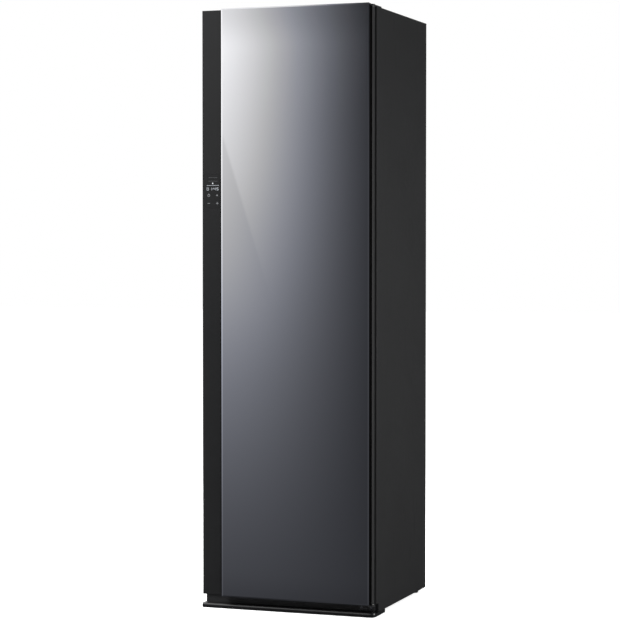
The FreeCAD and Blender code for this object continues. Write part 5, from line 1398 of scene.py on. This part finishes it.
def shape_blank(cover, chosen, low, high):
    """Rounds the bag's corners and rim and draws the sewn lines in; gives the points that hold still."""
    width, height = high.x - low.x, high.z - low.z
    middle = (low + high) / 2
    channel = height / chosen.channels
    held = []
    for point in cover.data.vertices:
        place = point.co
        at_back = place.y < low.y + chosen.bag / 2
        across, up = (place.x - low.x) / width, (place.z - low.z) / height
        side, end = min(across, 1 - across) * width, min(up, 1 - up) * height
        rim = min(side, end)
        line = round(up * chosen.channels)
        stitch = abs(place.z - low.z - line * channel)
        sewn = 0 < line < chosen.channels and side > chosen.sewn_inset
        if not at_back:
            crown = 1 - math.exp(-rim / CROWN_REACH)
            dip = math.exp(-stitch / DIP_REACH) if sewn else 0.0
            place.y = low.y + chosen.bag * (RIM_SHARE + CROWN_SHARE * crown - DIP_SHARE * dip)
        if at_back or (sewn and stitch < MM):
            held.append(point.index)
        pull = chosen.edge_pull * math.exp(-rim / PULL_REACH)
        if side <= end:
            place.x += math.copysign(pull * math.sin(math.pi * up), middle.x - place.x)
        else:
            place.z += math.copysign(pull * math.sin(math.pi * across), middle.z - place.z)
        past_x = chosen.corner - side
        past_z = chosen.corner - end
        reach = math.hypot(max(past_x, 0.0), max(past_z, 0.0))
        if past_x > 0 and past_z > 0 and reach > chosen.corner:
            inward = 1 - chosen.corner / reach
            place.x += math.copysign(past_x * inward, middle.x - place.x)
            place.z += math.copysign(past_z * inward, middle.z - place.z)
    return held


def fill_cover(context, cover, held, chosen):
    """Lets the cover swell as cloth under its filling, while its sewn lines and its back hold still."""
    before = [point.co.copy() for point in cover.data.vertices]
    group = cover.vertex_groups.new(name="sewn")
    group.add(held, 1.0, "REPLACE")
    modifier = cover.modifiers.new("filling", "CLOTH")
    cloth = modifier.settings
    cloth.quality = 5
    cloth.mass = 0.002
    cloth.vertex_group_mass = group.name
    cloth.use_pressure = True
    cloth.uniform_pressure_force = chosen.filling
    cloth.effector_weights.gravity = 0.0
    modifier.point_cache.frame_start = 1
    modifier.point_cache.frame_end = FILLING_FRAMES
    for number in range(1, FILLING_FRAMES + 1):
        context.scene.frame_set(number)
    select_only(cover)
    bpy.ops.object.modifier_apply(modifier=modifier.name)
    context.scene.frame_set(1)
    cover.vertex_groups.clear()
    for point, start in zip(cover.data.vertices, before):
        move = point.co - start
        if move.length > chosen.swell:
            point.co = start + move.normalized() * chosen.swell


class CABINET_OT_press_cover(bpy.types.Operator):
    """Model the padded cloth cover of the trouser press, sewn in channels and filled"""
    bl_idname = "cabinet.press_cover"
    bl_label = "Press cover"

    def execute(self, context):
        chosen = settings(context, "press")
        low, high = press_places(chosen)[:2]
        cover = cover_blank(chosen, low, high)
        held = shape_blank(cover, chosen, low, high)
        fill_cover(context, cover, held, chosen)
        apply_modifier(cover, "SUBSURF", levels=1, render_levels=1)
        close_up(cover, 70.0)
        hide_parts("press_pad")
        settle(cover, "door", "press_fabric")
        return {"FINISHED"}


class CABINET_OT_press_lugs(bpy.types.Operator):
    """Model the two lugs and pins that the trouser press's leaf turns on"""
    bl_idname = "cabinet.press_lugs"
    bl_label = "Press lugs"

    def execute(self, context):
        chosen = settings(context, "press")
        low, high, hinge, barrel, height = press_places(chosen)
        lugs = []
        for bottom, pin_start in ((low.z, low.z + height), (high.z - height, high.z - height)):
            lug = start_block("press_lug", (high.x - chosen.corner, low.y, bottom),
                              (hinge.x + barrel, hinge.y, bottom + height))
            knuckle = start_round("press_knuckle", barrel, height,
                                  (hinge.x, hinge.y, bottom + height / 2), sides=32)
            apply_modifier(lug, "BOOLEAN", operation="UNION", object=knuckle, solver="EXACT")
            bpy.data.objects.remove(knuckle)
            lugs.append(soften(lug, 0.8 * MM))
            way = 1 if bottom < (low.z + high.z) / 2 else -1
            pin_middle = pin_start + way * (chosen.pin_reach - PIN_ROOT) / 2
            pin = start_round("press_pin", chosen.pin, chosen.pin_reach + PIN_ROOT,
                              (hinge.x, hinge.y, pin_middle), sides=24)
            lugs.append(soften(pin, 0.5 * MM))
        group = join_pieces("press_lugs", lugs)
        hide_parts("press_pad")
        settle(group, "door", "press_plastic")
        return {"FINISHED"}


# ================================================================ studio
def start_glow(name):
    """A material that only gives light, its node tree and its Emission node."""
    material = bpy.data.materials.new(name)
    material.use_nodes = True
    tree = material.node_tree
    tree.nodes.remove(tree.nodes["Principled BSDF"])
    glow = add_node(tree, "Emission")
    join(tree, glow.outputs["Emission"], tree.nodes["Material Output"].inputs["Surface"])
    return material, tree, glow


def only_glossy(obj):
    """Lets only mirror-like surfaces see an object."""
    obj.visible_camera = False
    obj.visible_diffuse = False
    obj.visible_transmission = False
    obj.visible_volume_scatter = False
    obj.visible_shadow = False


def background_rays(tree):
    """1 for the rays that see the white background: camera, glossy and transmission rays."""
    path = add_node(tree, "LightPath")
    seen = arithmetic(tree, "MAXIMUM", path.outputs["Is Camera Ray"], path.outputs["Is Glossy Ray"])
    return arithmetic(tree, "MAXIMUM", seen, path.outputs["Is Transmission Ray"])


def white_world(ambient):
    """An even world: white behind the object, and a plain level of light on it."""
    world = bpy.data.worlds.new("studio_world")
    world.use_nodes = True
    tree = world.node_tree
    back = tree.nodes["Background"]
    join(tree, mix_colour(tree, background_rays(tree), (ambient,) * 3, (1.0,) * 3), back.inputs["Color"])
    bpy.context.scene.world = world


# what the floor shows of the white background, so that its far edge melts into it
FLOOR_GLOW = 0.72


def pale_floor(size):
    """The pale floor, which keeps the cabinet's shadow."""
    deselect_all()
    bpy.ops.mesh.primitive_plane_add(size=size, location=(0, 0, 0))
    floor = name_new("studio_floor")
    material, tree, shader = start_material("studio_floor")
    tone = noise(tree, object_place(tree), 3.0, 2.0)
    join(tree, mix_colour(tree, tone, (0.86,) * 3, (0.88,) * 3), shader.inputs["Base Color"])
    shader.inputs["Roughness"].default_value = 0.9
    shader.inputs["Specular IOR Level"].default_value = 0.0
    glow = add_node(tree, "Emission", Color=(1.0, 1.0, 1.0, 1.0))
    join(tree, arithmetic(tree, "MULTIPLY", background_rays(tree), FLOOR_GLOW), glow.inputs["Strength"])
    both = add_node(tree, "AddShader")
    join(tree, shader.outputs["BSDF"], both.inputs[0])
    join(tree, glow.outputs["Emission"], both.inputs[1])
    join(tree, both.outputs["Shader"], tree.nodes["Material Output"].inputs["Surface"])
    give_finish(floor, material)
    floor.visible_glossy = False
    return floor


# The card's lower and upper edge, and its grading in shares of the mirror sheet: across from the sheet's
# left edge to its right one, and up from the floor to its top. Tones are exponents of e, and a
# polynomial's factors start with the highest power's.
REFLECTOR_BOTTOM, REFLECTOR_TOP = -1.2, 4.2
LEFT_TONE = (-1.88, 1.675, 3.25, -2.87)
RIGHT_FALL = (-0.664, 3.674, 0.413)
FALL_COURSE = (0.683, 0.317)
FALL_ENDS = 1.02
# a darker panel at the lower left: where its slanting edge meets the left side, how fast the edge runs to
# the right as it falls and how soft it is, and the band of heights over which the panel fades in
PANEL_TOP, PANEL_SLOPE, PANEL_BLUR = 0.798, 1.23, 0.010
PANEL_BAND, PANEL_TONE = (0.48, 0.74), -0.17
# the left of the upper half is a little lighter, and it is darker close to the floor and to the top
UPPER_START, UPPER_END, UPPER_LEFT_TONE = (0.35, 0.60), (0.92, 0.68), 0.11
FLOOR_BAND, FLOOR_TONE = (0.07, 0.0), -0.20
TOP_BAND, TOP_TONE = (0.93, 1.0), -0.28
# the light's colour where it is strong and where it is weak, and the band of strengths between them
WARM, COOL, COOL_BAND = (1.0, 0.976, 0.947), (0.985, 1.0, 1.10), (0.60, 0.15)
# past the sheet's sides it is lighter, which the polished slopes pick up: the bands over which that
# grows, and how much it is on the left, at the floor and as its change up to the top
RIGHT_BAND, LEFT_BAND = (1.35, 2.4), (-0.10, -0.9)
LEFT_LIGHT, LEFT_LIGHT_CHANGE = 1.8, -1.1
BRIGHTEST = 1.3


def polynomial(tree, value, highest, *factors):
    """A polynomial in a value; its factors start with the highest power's."""
    total = highest
    for factor in factors:
        total = arithmetic(tree, "MULTIPLY_ADD", value, total, factor)
    return total


def place_on_door(tree, chosen, card_y):
    """Where on the door's mirror a point of the card shows from the main camera: across and up."""
    face_y = CAD_LOW.y
    camera = chosen.camera_place
    mirrored_y = 2 * face_y - camera[1]
    stretch = (mirrored_y - card_y) / (mirrored_y - face_y)
    place = axes_of(tree, object_place(tree))
    x = arithmetic(tree, "MULTIPLY_ADD", arithmetic(tree, "SUBTRACT", place["X"], camera[0]),
                   1 / stretch, camera[0])
    z = arithmetic(tree, "MULTIPLY_ADD", arithmetic(tree, "SUBTRACT", place["Z"], camera[2]),
                   1 / stretch, camera[2])
    low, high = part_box("door_glass")
    across = arithmetic(tree, "DIVIDE", arithmetic(tree, "SUBTRACT", x, low.x), high.x - low.x)
    return across, arithmetic(tree, "DIVIDE", z, high.z)


def graded_tone(tree, across, up):
    """The tone of the light: it grows up the left edge and falls off to the right, faster higher up."""
    inside = arithmetic(tree, "MINIMUM", arithmetic(tree, "MAXIMUM", across, 0.0), FALL_ENDS)
    course = arithmetic(tree, "MULTIPLY", inside, polynomial(tree, inside, *FALL_COURSE))
    fall = arithmetic(tree, "MULTIPLY", course, polynomial(tree, up, *RIGHT_FALL))
    tone = arithmetic(tree, "SUBTRACT", polynomial(tree, up, *LEFT_TONE), fall)
    over_panel = arithmetic(tree, "SUBTRACT", up, PANEL_TOP)
    edge = arithmetic(tree, "MULTIPLY_ADD", over_panel, PANEL_SLOPE, across)
    panel = arithmetic(tree, "MULTIPLY", smooth_step(tree, edge, PANEL_BLUR, -PANEL_BLUR),
                       smooth_step(tree, up, *PANEL_BAND))
    tone = arithmetic(tree, "MULTIPLY_ADD", panel, PANEL_TONE, tone)
    upper = arithmetic(tree, "MULTIPLY", smooth_step(tree, up, *UPPER_START),
                       smooth_step(tree, up, *UPPER_END))
    upper_left = arithmetic(tree, "MULTIPLY", upper, arithmetic(tree, "SUBTRACT", 1.0, inside))
    tone = arithmetic(tree, "MULTIPLY_ADD", upper_left, UPPER_LEFT_TONE, tone)
    tone = arithmetic(tree, "MULTIPLY_ADD", smooth_step(tree, up, *FLOOR_BAND), FLOOR_TONE, tone)
    return arithmetic(tree, "MULTIPLY_ADD", smooth_step(tree, up, *TOP_BAND), TOP_TONE, tone)


def graded_reflector(chosen):
    """A tall sheet of graded light in front of the door, which only glossy surfaces see."""
    y = -chosen.reflector_distance
    half = chosen.reflector_width / 2
    card = start_sheet("graded_reflector", -half, half, y, REFLECTOR_BOTTOM, REFLECTOR_TOP)
    material, tree, glow = start_glow("graded_reflector")
    across, up = place_on_door(tree, chosen, y)
    light = arithmetic(tree, "EXPONENT", graded_tone(tree, across, up))
    colour = mix_colour(tree, smooth_step(tree, light, *COOL_BAND), WARM, COOL)
    far_right = smooth_step(tree, across, *RIGHT_BAND)
    far_left = smooth_step(tree, across, *LEFT_BAND)
    left_share = arithmetic(tree, "MULTIPLY_ADD", up, LEFT_LIGHT_CHANGE, LEFT_LIGHT)
    both_sides = arithmetic(tree, "MULTIPLY_ADD", far_left, left_share, far_right)
    total = arithmetic(tree, "MULTIPLY_ADD", light, both_sides, light)
    join(tree, colour, glow.inputs["Color"])
    join(tree, arithmetic(tree, "MINIMUM", total, BRIGHTEST), glow.inputs["Strength"])
    give_finish(card, material)
    only_glossy(card)
    return card


# the drum's height and middle, the band in which its wall turns to ceiling, and the light of the two
DRUM_HEIGHT, DRUM_MIDDLE = 8.0, 2.0
CEILING_START, CEILING_FULL = 5.8, 5.95
WALL_LIGHT, CEILING_LIGHT = 0.045, 0.20


def dark_surround(radius):
    """A dark drum round the studio, with a lighter ceiling, which only glossy surfaces see."""
    drum = start_round("dark_surround", radius, DRUM_HEIGHT, (0, 0, DRUM_MIDDLE), sides=96)
    material, tree, glow = start_glow("dark_surround")
    height = axes_of(tree, object_place(tree))["Z"]
    ceiling = smooth_step(tree, height, CEILING_START, CEILING_FULL)
    glow.inputs["Color"].default_value = (0.96, 0.98, 1.0, 1.0)
    join(tree, rescale(tree, ceiling, WALL_LIGHT, CEILING_LIGHT), glow.inputs["Strength"])
    give_finish(drum, material)
    only_glossy(drum)
    return drum


def soft_lamp(name, place, target, size, power):
    """A rectangular soft lamp turned towards a point."""
    data = bpy.data.lights.new(name, "AREA")
    data.shape = "RECTANGLE"
    data.size, data.size_y = size
    data.energy = power
    lamp = bpy.data.objects.new(name, data)
    lamp.location = place
    lamp.rotation_euler = (Vector(target) - Vector(place)).to_track_quat("-Z", "Y").to_euler()
    bpy.context.collection.objects.link(lamp)
    return lamp


class CABINET_OT_studio(bpy.types.Operator):
    """Set up the floor, the reflectors, the lamps and the camera"""
    bl_idname = "cabinet.studio"
    bl_label = "Studio"

    def execute(self, context):
        chosen = settings(context, "studio")
        white_world(chosen.ambient)
        pale_floor(chosen.floor_size)
        graded_reflector(chosen)
        dark_surround(chosen.surround_radius)
        middle = (0.0, 0.0, CAD_HIGH.z / 2)
        soft_lamp("key_lamp", (-1.6, -2.6, 2.9), middle, (2.2, 2.2), chosen.key_power)
        soft_lamp("right_lamp", (2.9, 0.9, 1.1), (0.0, 0.1, 0.7), (1.6, 2.0), chosen.side_power)
        soft_lamp("left_lamp", (-2.8, 0.4, 2.0), middle, (1.6, 2.4), chosen.side_power)
        soft_lamp("rear_lamp", (-2.0, 2.4, 2.4), middle, (1.6, 1.6), chosen.rear_power)
        data = bpy.data.cameras.new("main_camera")
        data.lens = chosen.lens
        data.sensor_width = 36.0
        camera = bpy.data.objects.new("main_camera", data)
        camera.location = chosen.camera_place
        camera.rotation_euler = (math.pi / 2 - chosen.camera_dip, 0.0, chosen.camera_turn)
        context.collection.objects.link(camera)
        context.scene.camera = camera
        context.scene.view_settings.view_transform = "Standard"
        return {"FINISHED"}


# ================================================================ panel and registration
class CABINET_PT_panel(bpy.types.Panel):
    """The cabinet's pieces and their settings"""
    bl_label = "Steam Cabinet"
    bl_idname = "CABINET_PT_panel"
    bl_space_type = "VIEW_3D"
    bl_region_type = "UI"
    bl_category = "Steam Cabinet"

    def draw(self, context):
        layout = self.layout
        for operator, group in STEPS:
            section = layout.box()
            section.operator(operator)
            if group:
                chosen = settings(context, group)
                for name in chosen.__annotations__:
                    section.prop(chosen, name)


# each step's operator and the settings that it reads
STEPS = (
    ("cabinet.finishes", "colours"),
    ("cabinet.door_mirror", "glass"),
    ("cabinet.door_seal", "seal"),
    ("cabinet.display_marks", "display"),
    ("cabinet.press_cover", "press"),
    ("cabinet.press_lugs", None),
    ("cabinet.screws", "screws"),
    ("cabinet.louvres", "louvres"),
    ("cabinet.tank_marks", "tanks"),
    ("cabinet.studio", "studio"),
)

SETTING_GROUPS = {
    "colours": ColourSettings, "glass": GlassSettings, "seal": SealSettings, "display": DisplaySettings,
    "press": PressSettings, "screws": ScrewSettings, "louvres": LouvreSettings, "tanks": TankSettings,
    "studio": StudioSettings,
}

OPERATORS = (
    CABINET_OT_finishes, CABINET_OT_door_mirror, CABINET_OT_door_seal, CABINET_OT_display_marks,
    CABINET_OT_press_cover, CABINET_OT_press_lugs, CABINET_OT_screws, CABINET_OT_louvres,
    CABINET_OT_tank_marks, CABINET_OT_studio,
)


def register():
    for group in SETTING_GROUPS.values():
        bpy.utils.register_class(group)
    for name, group in SETTING_GROUPS.items():
        setattr(bpy.types.Scene, "cabinet_" + name, PointerProperty(type=group))
    for operator in OPERATORS:
        bpy.utils.register_class(operator)
    bpy.utils.register_class(CABINET_PT_panel)


def unregister():
    bpy.utils.unregister_class(CABINET_PT_panel)
    for operator in reversed(OPERATORS):
        bpy.utils.unregister_class(operator)
    for name, group in SETTING_GROUPS.items():
        delattr(bpy.types.Scene, "cabinet_" + name)
        bpy.utils.unregister_class(group)


def run_step(name):
    """Calls one operator by its idname."""
    family, operator = name.split(".")
    getattr(getattr(bpy.ops, family), operator)()


def main():
    register()
    for operator, _ in STEPS:
        run_step(operator)


if __name__ == "__main__":
    main()
